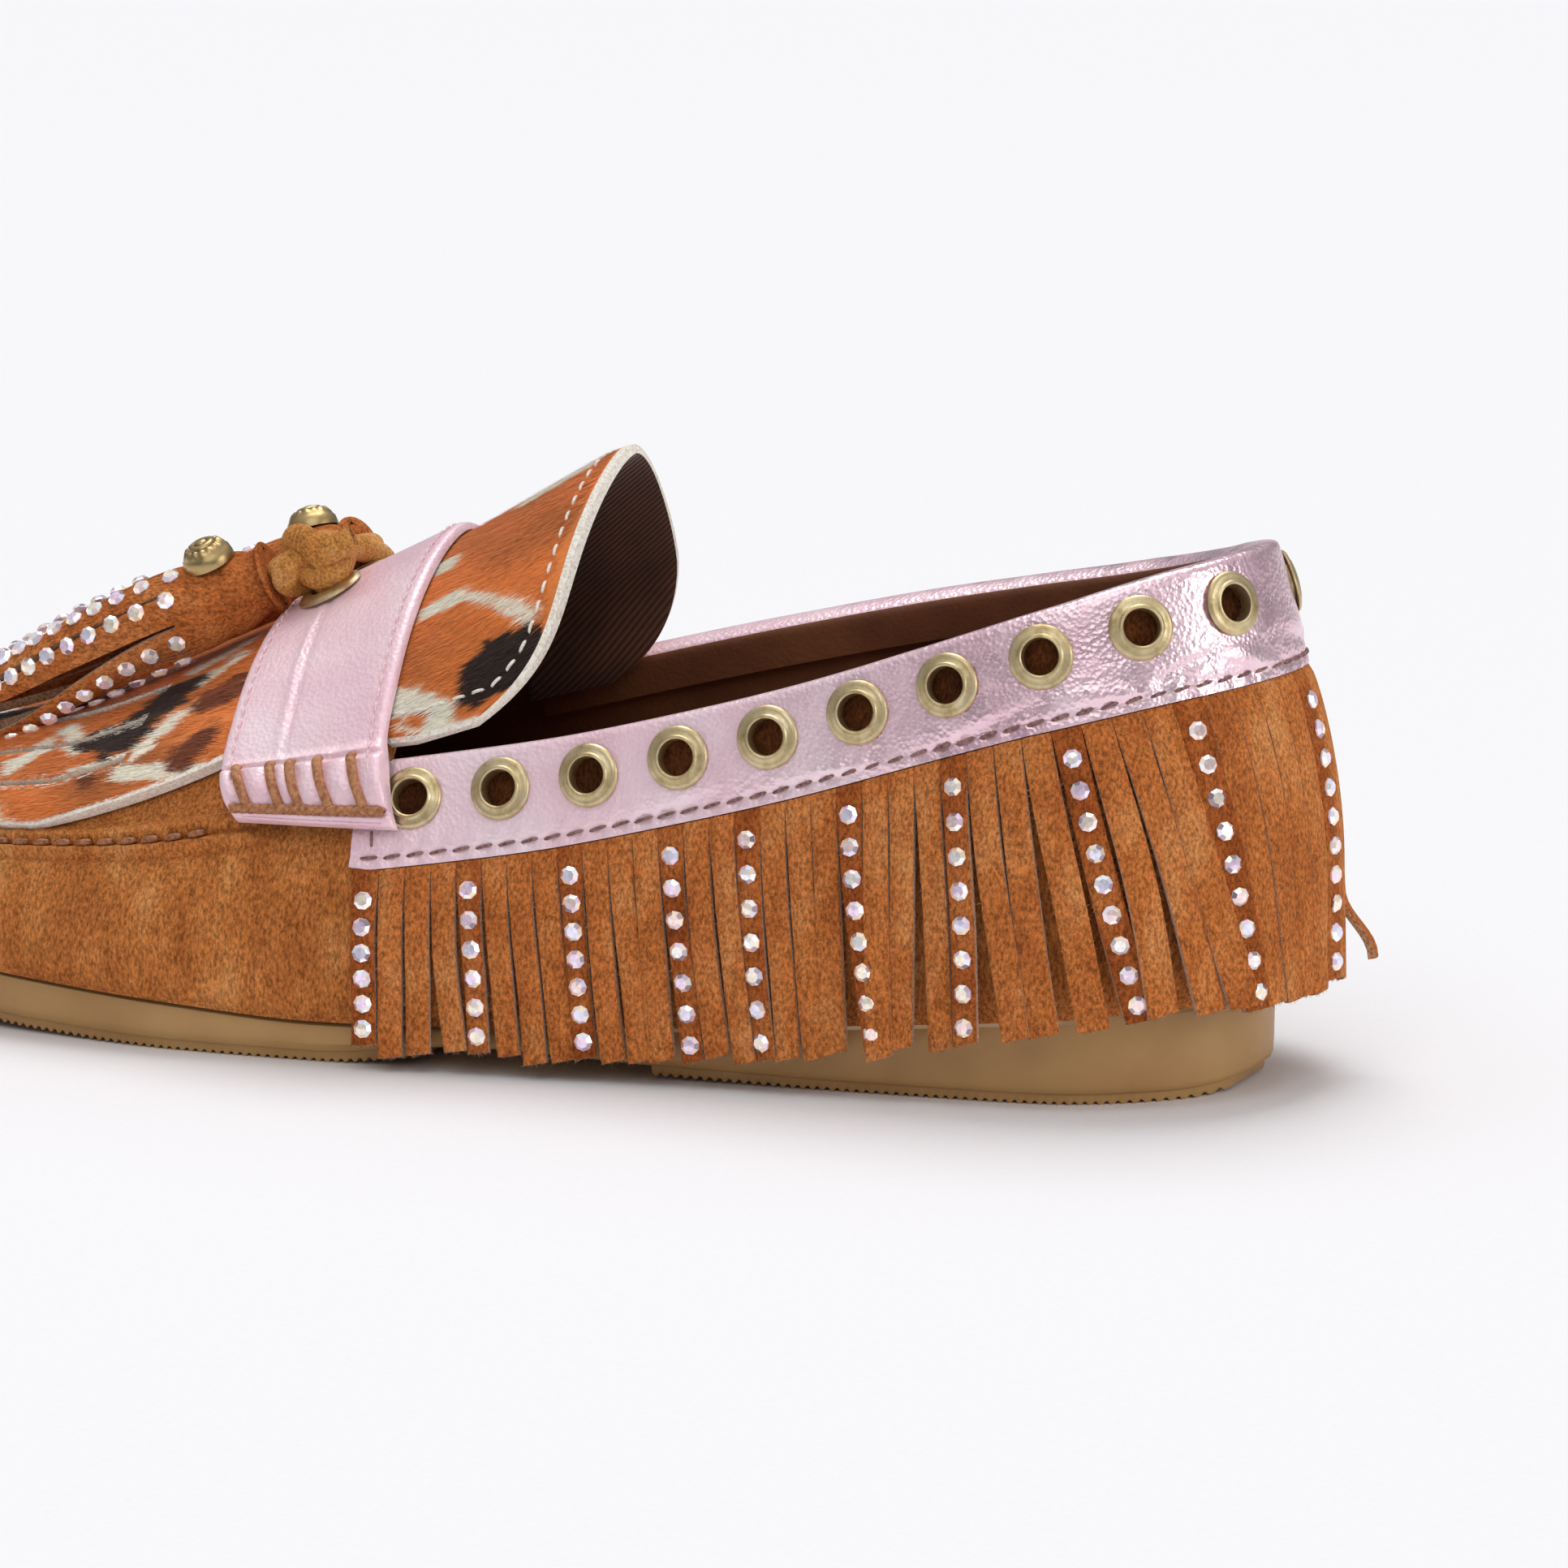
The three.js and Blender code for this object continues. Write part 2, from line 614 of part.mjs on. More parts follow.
// Distances of the eyelets from the back of the heel, evenly spread on each side, the outer side's first.
function eyeletDistances() {
  const list = [];
  const first = BACK_EYELET_GAP / 2;
  for (const side of [1, -1]) {
    const last = throatDistance(side, EYELET_DROP) - EYELET_MARGIN;
    for (let k = 0; k < EYELETS_A_SIDE; k += 1) {
      list.push(side * (first + ((last - first) * k) / (EYELETS_A_SIDE - 1)));
    }
  }
  return list;
}

// Stands a solid made round +Z on the wall, its axis along the wall's normal.
function stoodOnWall(geometry, place, drop, offset) {
  const point = downWall(place, drop, offset);
  return stoodOn(geometry, point, downWall(place, drop, offset + 1).sub(point).normalize());
}

// Rows of one of the collar's faces, from its lower edge over the topline to the end of its lining. band is
// a share of the band's height below the topline, drop a distance below it, and offset the distance off the
// upper's face.
function collarRows(stock) {
  const outside = GAP + stock;
  const inside = -UPPER_WALL - GAP - stock;
  const over = GAP + stock * 0.8;
  return [
    { band: 1, offset: outside },
    { band: 0.5, offset: outside },
    { band: 0.04, offset: outside },
    { drop: -over, offset: GAP + stock * 0.2 },
    { drop: -over, offset: -UPPER_WALL - GAP - stock * 0.3 },
    { drop: 1, offset: inside },
    { drop: COLLAR_LINING, offset: inside },
  ];
}
const COLLAR_OUTER_ROWS = 2; // the rows that run on under the strap

function makeCollar() {
  const half = throatColumn + 1;
  const columns = 2 * half;
  const placeOf = (column) => {
    const from = Math.abs(half - column);
    const side = Math.sign(half - column);
    if (from === half) return angleOf(THROAT_AT + COLLAR_TAB / SOLE_LENGTH) * side;
    if (from === throatColumn) return angleOf(THROAT_AT - COLLAR_STOP / SOLE_LENGTH) * side;
    return columnPlace(from) * side;
  };
  const corner = (column, { band, drop, offset }) => {
    const place = placeOf(column);
    return downWall(place, band ? band * bandHeight(alongLast(place)) : drop, offset);
  };
  const face = collarRows(COLLAR_STOCK);
  const back = collarRows(0);
  const geometry = skin({
    columns,
    rows: face.length - 1,
    face: (i, j) => corner(i, face[j]),
    back: (i, j) => corner(i, back[j]),
    keep: (i, j) => j < COLLAR_OUTER_ROWS || (i > 0 && i < columns - 1),
  });
  const bore = EYELET_BORE + GAP;
  const punch = revolved([[0, -PUNCH_REACH], [bore, -PUNCH_REACH], [bore, COLLAR_STOCK + PUNCH_REACH],
    [0, COLLAR_STOCK + PUNCH_REACH]], HOLE_SIDES);
  let collar = toManifold(geometry);
  for (const distance of eyeletDistances()) {
    collar = collar.subtract(toManifold(stoodOnWall(punch, alongEyelets(distance), EYELET_DROP, GAP)));
  }
  addPiece("collar", fromManifold(collar), pinkFoil);
}

// Profile of a pressed eyelet's rim: a flat foot, a sloped outer side and a dished mouth.
function eyeletProfile(radius, bore) {
  return [
    [bore, 0],
    [radius, 0],
    [radius - EYELET_SLOPE, EYELET_RISE],
    [bore + EYELET_MOUTH, EYELET_RISE * 0.8],
  ];
}

function makeEyelets() {
  const ring = revolved(eyeletProfile(EYELET_RADIUS, EYELET_BORE), HOLE_SIDES);
  const seat = 2 * GAP + COLLAR_STOCK;
  eyeletDistances().forEach((distance, k) => {
    const side = distance > 0 ? "outer" : "inner";
    const number = (k % EYELETS_A_SIDE) + 1;
    addPiece(`eyelet-${side}-${number}`, stoodOnWall(ring, alongEyelets(distance), EYELET_DROP, seat), brass);
  });
}

// Fringe: a suede skirt below the collar, cut into strips that hang over the sole's edge

const STRIP_ROWS = 3;
const STRIP_HEAD = 2.5; // left uncut along the top
const SLIT = 0.5;
const BULGE_TURN = 0.1; // the widest part of the wall, below which the strips hang free

function makeFringe() {
  const strips = 2 * STRIPS_A_SIDE + 1;
  const halfLength = STRIPS_A_SIDE * STRIP_PITCH;
  const length = tableCurve(FRINGE, "length", halfLength, FRINGE_LENGTH);
  const flare = tableCurve(FRINGE, "flare", halfLength, FRINGE_FLARE);
  const swing = tableCurve(FRINGE, "swing", halfLength, 1);
  // Columns run strip edge, strip edge, next strip; the cells between two strips are their slits.
  const columns = 2 * strips - 1;
  const corner = (column, row, offset) => {
    const middle = (Math.floor(column / 2) - STRIPS_A_SIDE) * STRIP_PITCH;
    const distance = middle + (column % 2 === 0 ? -1 : 1) * ((STRIP_PITCH - SLIT) / 2);
    const reach = Math.abs(middle);
    const down = row === 0 ? 0 : STRIP_HEAD + ((length(reach) - STRIP_HEAD) * (row - 1)) / (STRIP_ROWS - 1);
    const trail = swing(reach) * down * Math.sign(middle);
    const place = alongTop(distance - trail);
    const top = downWall(place, bandHeight(alongLast(place)) + GAP, offset);
    const height = top.z - down;
    const turn = Math.max(turnAtHeight(place, height), BULGE_TURN);
    const wall = row === 0 ? top : onRib(place, turn, offset);
    const out = outwards(place).multiplyScalar(flare(reach) * Math.sqrt(down / length(reach)));
    return new THREE.Vector3(wall.x + out.x, wall.y + out.y, height);
  };
  const geometry = skin({
    columns,
    rows: STRIP_ROWS,
    face: (i, j) => corner(i, j, GAP + FRINGE_STOCK),
    back: (i, j) => corner(i, j, GAP),
    keep: (i, j) => j === 0 || i % 2 === 0,
  });
  addPiece("fringe", geometry, suede);
}

// Layers over the instep. Each is a patch of the upper's own surface, raised clear of what lies below it.

const LAYER_GAP = 0.5; // clearance over the curve of the instep
const HIDE_FACE = LAYER_GAP + HAIRED_HIDE;
const STRAP_BACK = HIDE_FACE + LAYER_GAP;
const STRAP_FACE = STRAP_BACK + STRAP_STOCK;

// A point over the ribs. across runs from -1 at a layer's outer edge over 0 on the ridge line to 1 at its
// inner edge, and low is the turn of the rib at which that edge lies.
function onLayer(angle, across, low, offset) {
  const place = across <= 0 ? angle : 2 - angle;
  return onRib(place, 1 - Math.abs(across) * (1 - low), offset);
}

// Tongue: stands up from under the strap, its free edge cut square with round corners
const TONGUE = {
  rear: 0.399,
  front: 0.545,
  cornerRun: 0.043,
  cornerPower: 12,
  underStrap: 0.46,
  lowest: 0.4,
};
const TONGUE_CLEARANCE = 2.6; // of its sides over the topline
const TONGUE_CELLS = { along: 7, across: 12 };

function makeTongue() {
  const { along, across } = TONGUE_CELLS;
  const sideTurn = (angle, side) => {
    if (angle > throatAngle) return TONGUE.underStrap;
    const place = side <= 0 ? angle : 2 - angle;
    return Math.max(TONGUE.lowest, turnAtHeight(place, toplineHeight(place) + TONGUE_CLEARANCE));
  };
  const corner = (column, row, offset) => {
    const side = (2 * row) / across - 1;
    const rear = TONGUE.rear + TONGUE.cornerRun * Math.abs(side) ** TONGUE.cornerPower;
    const angle = angleOf(rear + ((TONGUE.front - rear) * column) / along);
    return onLayer(angle, side, sideTurn(angle, side), offset);
  };
  const geometry = skin({
    columns: along,
    rows: across,
    face: (i, j) => corner(i, j, HIDE_FACE),
    back: (i, j) => corner(i, j, LAYER_GAP),
  });
  addPiece("tongue", geometry, cowHide);
}

// Kiltie: lies on the apron from under the strap, its front cut lengthwise into a fringe
const KILTIE = { rear: 0.553, slits: 0.67, front: 0.885, strips: 11, slit: 0.018 };
// How far its sides stay above the seam, as turns: at its rear, how fast it widens forward, and at least
const OVER_SEAM = { rear: 0.178, widening: 0.8, least: 0.045 };
const KILTIE_CELLS = { uncut: 2, cut: 5 };

function makeKiltie() {
  const { strips, slit } = KILTIE;
  const { uncut, cut } = KILTIE_CELLS;
  const edgeOf = (row) => {
    const strip = Math.floor(row / 2) - strips / 2;
    if (row % 2 === 0) return (2 * strip) / strips + (row === 0 ? 0 : slit / 2);
    return (2 * (strip + 1)) / strips - (row === 2 * strips - 1 ? 0 : slit / 2);
  };
  const shareOfColumn = (column) => {
    if (column <= uncut) return KILTIE.rear + ((KILTIE.slits - KILTIE.rear) * column) / uncut;
    return KILTIE.slits + ((KILTIE.front - KILTIE.slits) * (column - uncut)) / cut;
  };
  const corner = (column, row, offset) => {
    const share = shareOfColumn(column);
    const angle = angleOf(share);
    const above = Math.max(OVER_SEAM.least, OVER_SEAM.rear - OVER_SEAM.widening * (share - KILTIE.rear));
    return onLayer(angle, edgeOf(row), seamTurn(angle) + above, offset);
  };
  const geometry = skin({
    columns: uncut + cut,
    rows: 2 * strips - 1,
    face: (i, j) => corner(i, j, HIDE_FACE),
    back: (i, j) => corner(i, j, LAYER_GAP),
    keep: (i, j) => j % 2 === 0 || i < uncut,
  });
  addPiece("kiltie", geometry, cowHide);
}

// Strap: a saddle over the instep with a whipped roll at each end
const STRAP_COLUMNS = 4;
const STRAP_EASE = 0.5; // how far its ends lift off the layers below
const ROLL_RISE = 2;
// Rows from the ridge down: turn is the rib's turn, ease a share of STRAP_EASE and roll a share of
// ROLL_RISE.
const STRAP_ACROSS = [
  { turn: 1.0, ease: 0.0, roll: 0.0 },
  { turn: 0.88, ease: 0.0, roll: 0.0 },
  { turn: 0.76, ease: 0.0, roll: 0.0 },
  { turn: 0.64, ease: 0.0, roll: 0.0 },
  { turn: 0.53, ease: 0.0, roll: 0.0 },
  { turn: 0.425, ease: 0.6, roll: 0.0 },
  { turn: 0.4, ease: 1.0, roll: 0.7 },
  { turn: 0.365, ease: 1.0, roll: 1.0 },
  { turn: 0.335, ease: 1.0, roll: 0.5 },
  { turn: 0.318, ease: 0.6, roll: 0.0 },
];

function makeStrap() {
  const rows = STRAP_ACROSS.length - 1;
  const corner = (column, row, offset, rollRise) => {
    const { turn, ease, roll } = STRAP_ACROSS[Math.abs(row - rows)];
    const share = Math.abs(row - rows) / rows;
    const rear = STRAP.rearCrest + (STRAP.rearEnd - STRAP.rearCrest) * share ** STRAP.sweep;
    const front = STRAP.frontCrest + (STRAP.frontEnd - STRAP.frontCrest) * share;
    const angle = angleOf(rear + ((front - rear) * column) / STRAP_COLUMNS);
    const low = turn - STRAP_DROOP * share ** 2 * (1 - column / STRAP_COLUMNS);
    return onRib(row <= rows ? angle : 2 - angle, low, offset + ease * STRAP_EASE + roll * rollRise);
  };
  const geometry = skin({
    columns: STRAP_COLUMNS,
    rows: 2 * rows,
    face: (i, j) => corner(i, j, STRAP_FACE, ROLL_RISE),
    back: (i, j) => corner(i, j, STRAP_BACK, 0),
  });
  addPiece("strap", geometry, pinkFoil);
}

// Strap eyelets: one on each side of the ridge line, for the thong
const STRAP_EYELET = { at: 0.578, turn: 0.84, radius: 5, bore: 2.6 };
const STRAP_EYELET_SIDES = 12;

// A place by its share of SOLE_LENGTH, on the outer side (1) or the inner side (-1).
const placeOn = (side, at) => (side > 0 ? angleOf(at) : 2 - angleOf(at));

function makeStrapEyelet(side, name) {
  const place = placeOn(side, STRAP_EYELET.at);
  const ring = revolved(eyeletProfile(STRAP_EYELET.radius, STRAP_EYELET.bore), STRAP_EYELET_SIDES);
  const seat = onRib(place, STRAP_EYELET.turn, STRAP_FACE + GAP);
  addPiece(`strap-eyelet-${name}`, stoodOn(ring, seat, ribNormal(place, STRAP_EYELET.turn)), brass);
}

// Tassels: suede rolled round the thong's ends and cut into strips, with a stud on each head

const TASSEL_WIDTH = 16;
const TASSEL_DEPTH = 12.8;
const TASSEL_CLEARANCE = 10; // of its middle over the upper, at its thickest
const TASSEL_STOCK = 1.3;
const TASSEL_STRIPS = 8;
const TASSEL_SLIT = 0.1; // share of a strip's width
const INNER_SET_BACK = 0.018; // share of SOLE_LENGTH by which the inner tassel lies farther back

// Stations of a tassel: at is a share of SOLE_LENGTH, turn the rib's turn below its middle, clear a share of
// TASSEL_CLEARANCE, wide a share of TASSEL_WIDTH and deep a share of TASSEL_DEPTH.
const TASSEL = [
  { at: 0.614, turn: 0.86, clear: 0.92, wide: 0.5, deep: 0.6 },
  { at: 0.636, turn: 0.84, clear: 0.95, wide: 0.78, deep: 0.87 },
  { at: 0.67, turn: 0.815, clear: 1.0, wide: 0.9, deep: 1.0 },
  { at: 0.73, turn: 0.8, clear: 0.94, wide: 0.94, deep: 0.92 },
  { at: 0.79, turn: 0.79, clear: 0.8, wide: 0.98, deep: 0.73 },
  { at: 0.87, turn: 0.78, clear: 0.64, wide: 1.05, deep: 0.52 },
];
const TASSEL_HEAD = 2; // rows of cells left uncut

// The frame of a tassel at one station: its middle, its direction to the outer side and its upward
// direction.
function tasselFrame(index, side) {
  const middleOf = (row) => {
    const place = placeOn(side, row.at - (side > 0 ? 0 : INNER_SET_BACK));
    return onRib(place, row.turn, row.clear * TASSEL_CLEARANCE);
  };
  const station = TASSEL[index];
  const middle = middleOf(station);
  const before = middleOf(TASSEL[Math.max(index - 1, 0)]);
  const after = middleOf(TASSEL[Math.min(index + 1, TASSEL.length - 1)]);
  const ahead = after.sub(before).normalize();
  const out = ribNormal(placeOn(side, station.at), station.turn).cross(ahead).normalize();
  const up = ahead.clone().cross(out).normalize();
  return { middle, out, up };
}

function makeTassel(side, name) {
  const frames = TASSEL.map((_, index) => tasselFrame(index, side));
  const corner = (column, row, stock) => {
    const strip = Math.floor(column / 2);
    const edge = column % 2 === 0 ? TASSEL_SLIT / 2 : 1 - TASSEL_SLIT / 2;
    const phi = (2 * Math.PI * (strip + edge)) / TASSEL_STRIPS;
    const { middle, out, up } = frames[row];
    const { wide, deep } = TASSEL[row];
    const point = middle.clone().addScaledVector(out, ((wide * TASSEL_WIDTH) / 2 - stock) * Math.cos(phi));
    return point.addScaledVector(up, ((deep * TASSEL_DEPTH) / 2 - stock) * Math.sin(phi));
  };
  const geometry = skin({
    columns: 2 * TASSEL_STRIPS,
    rows: TASSEL.length - 1,
    round: true,
    face: (i, j) => corner(i, j, 0),
    back: (i, j) => corner(i, j, TASSEL_STOCK),
    keep: (i, j) => j < TASSEL_HEAD || i % 2 === 0,
  });
  addPiece(`tassel-${name}`, geometry, suede);
}

// Studs: a domed brass head on each tassel
const STUD = { radius: 3.8, height: 3.2, station: 1, lean: 0.15 };
const STUD_SIDES = 12;

function makeStud(side, name) {
  const { radius, height, station } = STUD;
  const profile = [
    [0, 0],
    [radius, 0],
    [radius * 0.92, height * 0.45],
    [radius * 0.6, height * 0.85],
    [0, height],
  ];
  const { middle, up, out } = tasselFrame(station, side);
  const direction = up.addScaledVector(out, STUD.lean).normalize();
  const foot = middle.addScaledVector(direction, (TASSEL[station].deep * TASSEL_DEPTH) / 2 + 2 * GAP);
  addPiece(`stud-${name}`, stoodOn(revolved(profile, STUD_SIDES), foot, direction), brass);
}

// Thong: a suede cord out of both strap eyelets, knotted over the outer one, its ends in the tassels' heads

const THONG_RADIUS = 1.9;
const THONG_SIDES = 6;
const THONG_STAND = 4; // how far it runs straight out of an eyelet, and straight into a tassel
const KNOT = { at: 0.585, turn: 0.88, loop: 3.1, lean: 0.4, loopSides: 9 };

// A cord through points, round corners between them.
function cord(...points) {
  const section = new THREE.Shape();
  for (let k = 0; k < THONG_SIDES; k += 1) {
    const phi = (2 * Math.PI * k) / THONG_SIDES;
    const corner = [THONG_RADIUS * Math.cos(phi), THONG_RADIUS * Math.sin(phi)];
    if (k === 0) section.moveTo(...corner);
    else section.lineTo(...corner);
  }
  const extrudePath = new THREE.CatmullRomCurve3(points);
  const steps = points.length > 2 ? 2 * (points.length - 1) : 1;
  return toManifold(new THREE.ExtrudeGeometry(section, { steps, bevelEnabled: false, extrudePath }));
}

function makeThong() {
  const place = placeOn(1, KNOT.at);
  const normal = ribNormal(place, KNOT.turn);
  const knotRise = THONG_RADIUS + KNOT.loop * Math.sin(KNOT.lean) + 3 * GAP;
  const middle = onRib(place, KNOT.turn, STRAP_FACE + EYELET_RISE + knotRise);
  const loop = (tilt, twist) => {
    const ring = new THREE.TorusGeometry(KNOT.loop, THONG_RADIUS, THONG_SIDES, KNOT.loopSides);
    return toManifold(stoodOn(ring.rotateX(tilt).rotateY(twist), middle, normal));
  };
  const core = toManifold(stoodOn(new THREE.IcosahedronGeometry(KNOT.loop, 0), middle, normal));
  const eye = (side, rise) => {
    return onRib(placeOn(side, STRAP_EYELET.at), STRAP_EYELET.turn, STRAP_FACE + GAP + rise);
  };
  const neck = (side, inside) => {
    const { middle: mouth } = tasselFrame(0, side);
    const ahead = tasselFrame(1, side).middle.sub(mouth).normalize();
    return mouth.addScaledVector(ahead, inside);
  };
  const crest = (at) => onRib(angleOf(at), 1, STRAP_FACE + EYELET_RISE + THONG_RADIUS + 3 * GAP);
  const pieces = [
    loop(KNOT.lean, 0),
    loop(-KNOT.lean, KNOT.lean),
    cord(eye(1, 0), eye(1, THONG_STAND)),
    cord(eye(1, THONG_STAND), middle),
    cord(eye(-1, 0), eye(-1, THONG_STAND)),
    cord(eye(-1, THONG_STAND - GAP), crest(STRAP_EYELET.at), middle),
    cord(middle, neck(1, -THONG_STAND)),
    cord(neck(1, -THONG_STAND), neck(1, THONG_STAND)),
    cord(middle, crest(KNOT.at), neck(-1, -THONG_STAND)),
    cord(neck(-1, -THONG_STAND), neck(-1, THONG_STAND)),
  ];
  addPiece("thong", fromManifold(pieces.reduce((whole, piece) => whole.add(piece), core)), suede);
}

makeSole();
makeUpper();
makeInsole();
makeCollar();
makeEyelets();
makeFringe();
makeTongue();
makeKiltie();
makeStrap();
for (const [side, name] of [[1, "outer"], [-1, "inner"]]) {
  makeStrapEyelet(side, name);
  makeTassel(side, name);
  makeStud(side, name);
}
makeThong();

export default shoe;
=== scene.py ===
import math

import bpy
import numpy as np
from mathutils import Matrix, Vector


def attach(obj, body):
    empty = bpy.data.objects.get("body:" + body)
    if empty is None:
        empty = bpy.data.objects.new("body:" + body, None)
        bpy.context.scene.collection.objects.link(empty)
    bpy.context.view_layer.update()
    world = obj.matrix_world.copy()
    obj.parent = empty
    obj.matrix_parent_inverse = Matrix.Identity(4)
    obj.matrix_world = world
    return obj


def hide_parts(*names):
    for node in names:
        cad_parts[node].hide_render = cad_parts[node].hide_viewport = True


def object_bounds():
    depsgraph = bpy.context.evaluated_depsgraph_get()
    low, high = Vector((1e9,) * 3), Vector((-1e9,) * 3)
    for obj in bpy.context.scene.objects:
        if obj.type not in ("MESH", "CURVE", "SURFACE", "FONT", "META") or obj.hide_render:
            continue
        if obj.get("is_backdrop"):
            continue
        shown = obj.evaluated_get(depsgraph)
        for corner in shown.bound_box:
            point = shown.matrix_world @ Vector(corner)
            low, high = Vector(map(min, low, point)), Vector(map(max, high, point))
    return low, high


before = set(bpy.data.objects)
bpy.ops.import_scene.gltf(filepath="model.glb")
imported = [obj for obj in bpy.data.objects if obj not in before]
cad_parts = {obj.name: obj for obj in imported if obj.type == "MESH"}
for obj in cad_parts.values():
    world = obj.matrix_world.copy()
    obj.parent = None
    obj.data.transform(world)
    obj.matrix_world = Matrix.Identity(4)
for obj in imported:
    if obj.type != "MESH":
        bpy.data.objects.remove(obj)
cad_box = [list(corner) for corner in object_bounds()]

# Camera, floor and light. A telephoto view from behind the outer side, a little above the topline, as a
# product photograph is taken, on a pale sweep. Three soft lights stand round it: from above beyond the
# inner side, low behind the heel, and on the outer side.
MM = 0.001  # every size below is in millimetres
VIEW_AZIMUTH = math.radians(203)
VIEW_ELEVATION = math.radians(10)
VIEW_DISTANCE = 1.0
VIEW_TARGET = Vector((42.81, 0, 36.83)) * MM
FRAME_PIXELS = 1932
FOCAL_PIXELS = 8750

camera_data = bpy.data.cameras.new("camera")
camera_data.sensor_width = 36
camera_data.lens = camera_data.sensor_width * FOCAL_PIXELS / FRAME_PIXELS
camera = bpy.data.objects.new("camera", camera_data)
level = math.cos(VIEW_ELEVATION)
view_direction = Vector(
    (math.sin(VIEW_AZIMUTH) * level, -math.cos(VIEW_AZIMUTH) * level, math.sin(VIEW_ELEVATION))
)
camera.location = VIEW_TARGET + view_direction * VIEW_DISTANCE
camera.rotation_euler = (-view_direction).to_track_quat("-Z", "Y").to_euler()
bpy.context.collection.objects.link(camera)
bpy.context.scene.camera = camera
bpy.context.scene.view_settings.view_transform = "Standard"


def linear(colour):
    """An sRGB hex colour as linear red, green, blue and alpha."""
    parts = [int(colour[k : k + 2], 16) / 255 for k in (1, 3, 5)]
    return [c / 12.92 if c <= 0.04045 else ((c + 0.055) / 1.055) ** 2.4 for c in parts] + [1.0]


def add(tree, kind, settings=None, links=None):
    """Adds a node, gives it its settings and links its inputs. stops are a colour ramp's (place, colour)
    pairs."""
    made = tree.nodes.new("ShaderNode" + kind)
    for name, value in (settings or {}).items():
        if name == "stops":
            ramp = made.color_ramp.elements
            while len(ramp) < len(value):
                ramp.new(0.5)
            for stop, (place, colour) in zip(ramp, value):
                stop.position = place
                stop.color = colour
        elif isinstance(name, int) or name in made.inputs:
            made.inputs[name].default_value = value
        else:
            setattr(made, name, value)
    for name, source in (links or {}).items():
        output = source if isinstance(source, bpy.types.NodeSocket) else source.outputs[0]
        tree.links.new(output, made.inputs[name])
    return made


def new_material(name):
    """An empty node material: its tree, and its object coordinates, which are metres in the shoe's frame."""
    material = bpy.data.materials.new(name)
    material.use_nodes = True
    tree = material.node_tree
    tree.nodes.clear()
    return material, tree, add(tree, "TexCoord").outputs["Object"]


def close_material(tree, shader):
    add(tree, "OutputMaterial", {}, {"Surface": shader})


def link_piece(name, mesh, nodes=(), stage=False):
    """Puts a mesh in the scene as a piece that rides on the shoe and stands for the nodes it replaces."""
    piece = bpy.data.objects.new(name, mesh)
    bpy.context.collection.objects.link(piece)
    if stage:
        piece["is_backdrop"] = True
        return piece
    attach(piece, "root")
    if nodes:
        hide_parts(*nodes)
    return piece


FLOOR_HALF = 3000
SWEEP_COLOUR = linear("#f3f3f5")
floor_mesh = bpy.data.meshes.new("floor")
floor_mesh.from_pydata(
    [(x * FLOOR_HALF * MM, y * FLOOR_HALF * MM, 0) for x, y in ((-1, -1), (1, -1), (1, 1), (-1, 1))], [], [
        (0, 1, 2, 3)
    ]
)
paper, tree, place = new_material("matt_paper")
grain = add(tree, "TexNoise", {"Scale": 900.0, "Detail": 2.0}, {"Vector": place})
tone = add(tree, "ValToRGB", {"stops": [(0.3, linear("#f1f1f3")), (0.7, SWEEP_COLOUR)]}, {"Fac": grain})
close_material(tree, add(tree, "BsdfPrincipled", {"Roughness": 0.95}, {"Base Color": tone}))
floor_mesh.materials.append(paper)
link_piece("floor", floor_mesh, stage=True)

world = bpy.data.worlds.new("studio")
bpy.context.scene.world = world
world.use_nodes = True
world.node_tree.nodes.clear()
sky = add(world.node_tree, "TexCoord").outputs["Generated"]
height = add(world.node_tree, "SeparateXYZ", {}, {0: sky}).outputs["Z"]
dome = add(
    world.node_tree,
    "ValToRGB",
    {
        "stops": [
            (0.0, linear("#c2c2c5")),
            (0.25, linear("#76767b")),
            (0.55, linear("#d2d2d6")),
            (1.0, linear("#ffffff")),
        ]
    },
    {"Fac": height},
)
glow = add(world.node_tree, "Background", {"Strength": 0.7}, {"Color": dome})
add(world.node_tree, "OutputWorld", {}, {"Surface": glow})

# Softboxes far off, each by its azimuth and elevation in degrees, the angle it fills and its strength
SOFTBOXES = (
    {"name": "overhead", "azimuth": 20, "elevation": 70, "wide": 40, "strength": 1.3},
    {"name": "behind_heel", "azimuth": 264, "elevation": 18, "wide": 24, "strength": 0.7},
    {"name": "outer_side", "azimuth": 196, "elevation": 46, "wide": 46, "strength": 0.52},
)
for box in SOFTBOXES:
    turn, rise = math.radians(box["azimuth"]), math.radians(box["elevation"])
    light_data = bpy.data.lights.new(box["name"], "SUN")
    light_data.angle = math.radians(box["wide"])
    light_data.energy = box["strength"]
    light = bpy.data.objects.new(box["name"], light_data)
    towards = Vector((math.sin(turn) * math.cos(rise), -math.cos(turn) * math.cos(rise), math.sin(rise)))
    light.rotation_euler = (-towards).to_track_quat("-Z", "Y").to_euler()
    bpy.context.collection.objects.link(light)

# Sole. One moulded unit of gum rubber under the whole shoe: a plain side wall, an arched waist, and two
# treads that stand a little inside the edge and are scored across with fine ribs.
SOLE_LENGTH = 240
BALL_WIDTH = 82
HEEL_REST = 30
HEEL_EDGE = 13
TOE_SPRING = 8
HEEL_SWELL = 6
GAP = 0.3
SOLE_INSET = 0.8
TREAD = 1.5
TREAD_INSET = 1.2
HEEL_TREAD = (0.006, 0.33)
FOREFOOT_TREAD = (0.47, 0.994)
RIB_PITCH = 1.4
RIB_DEPTH = 0.45

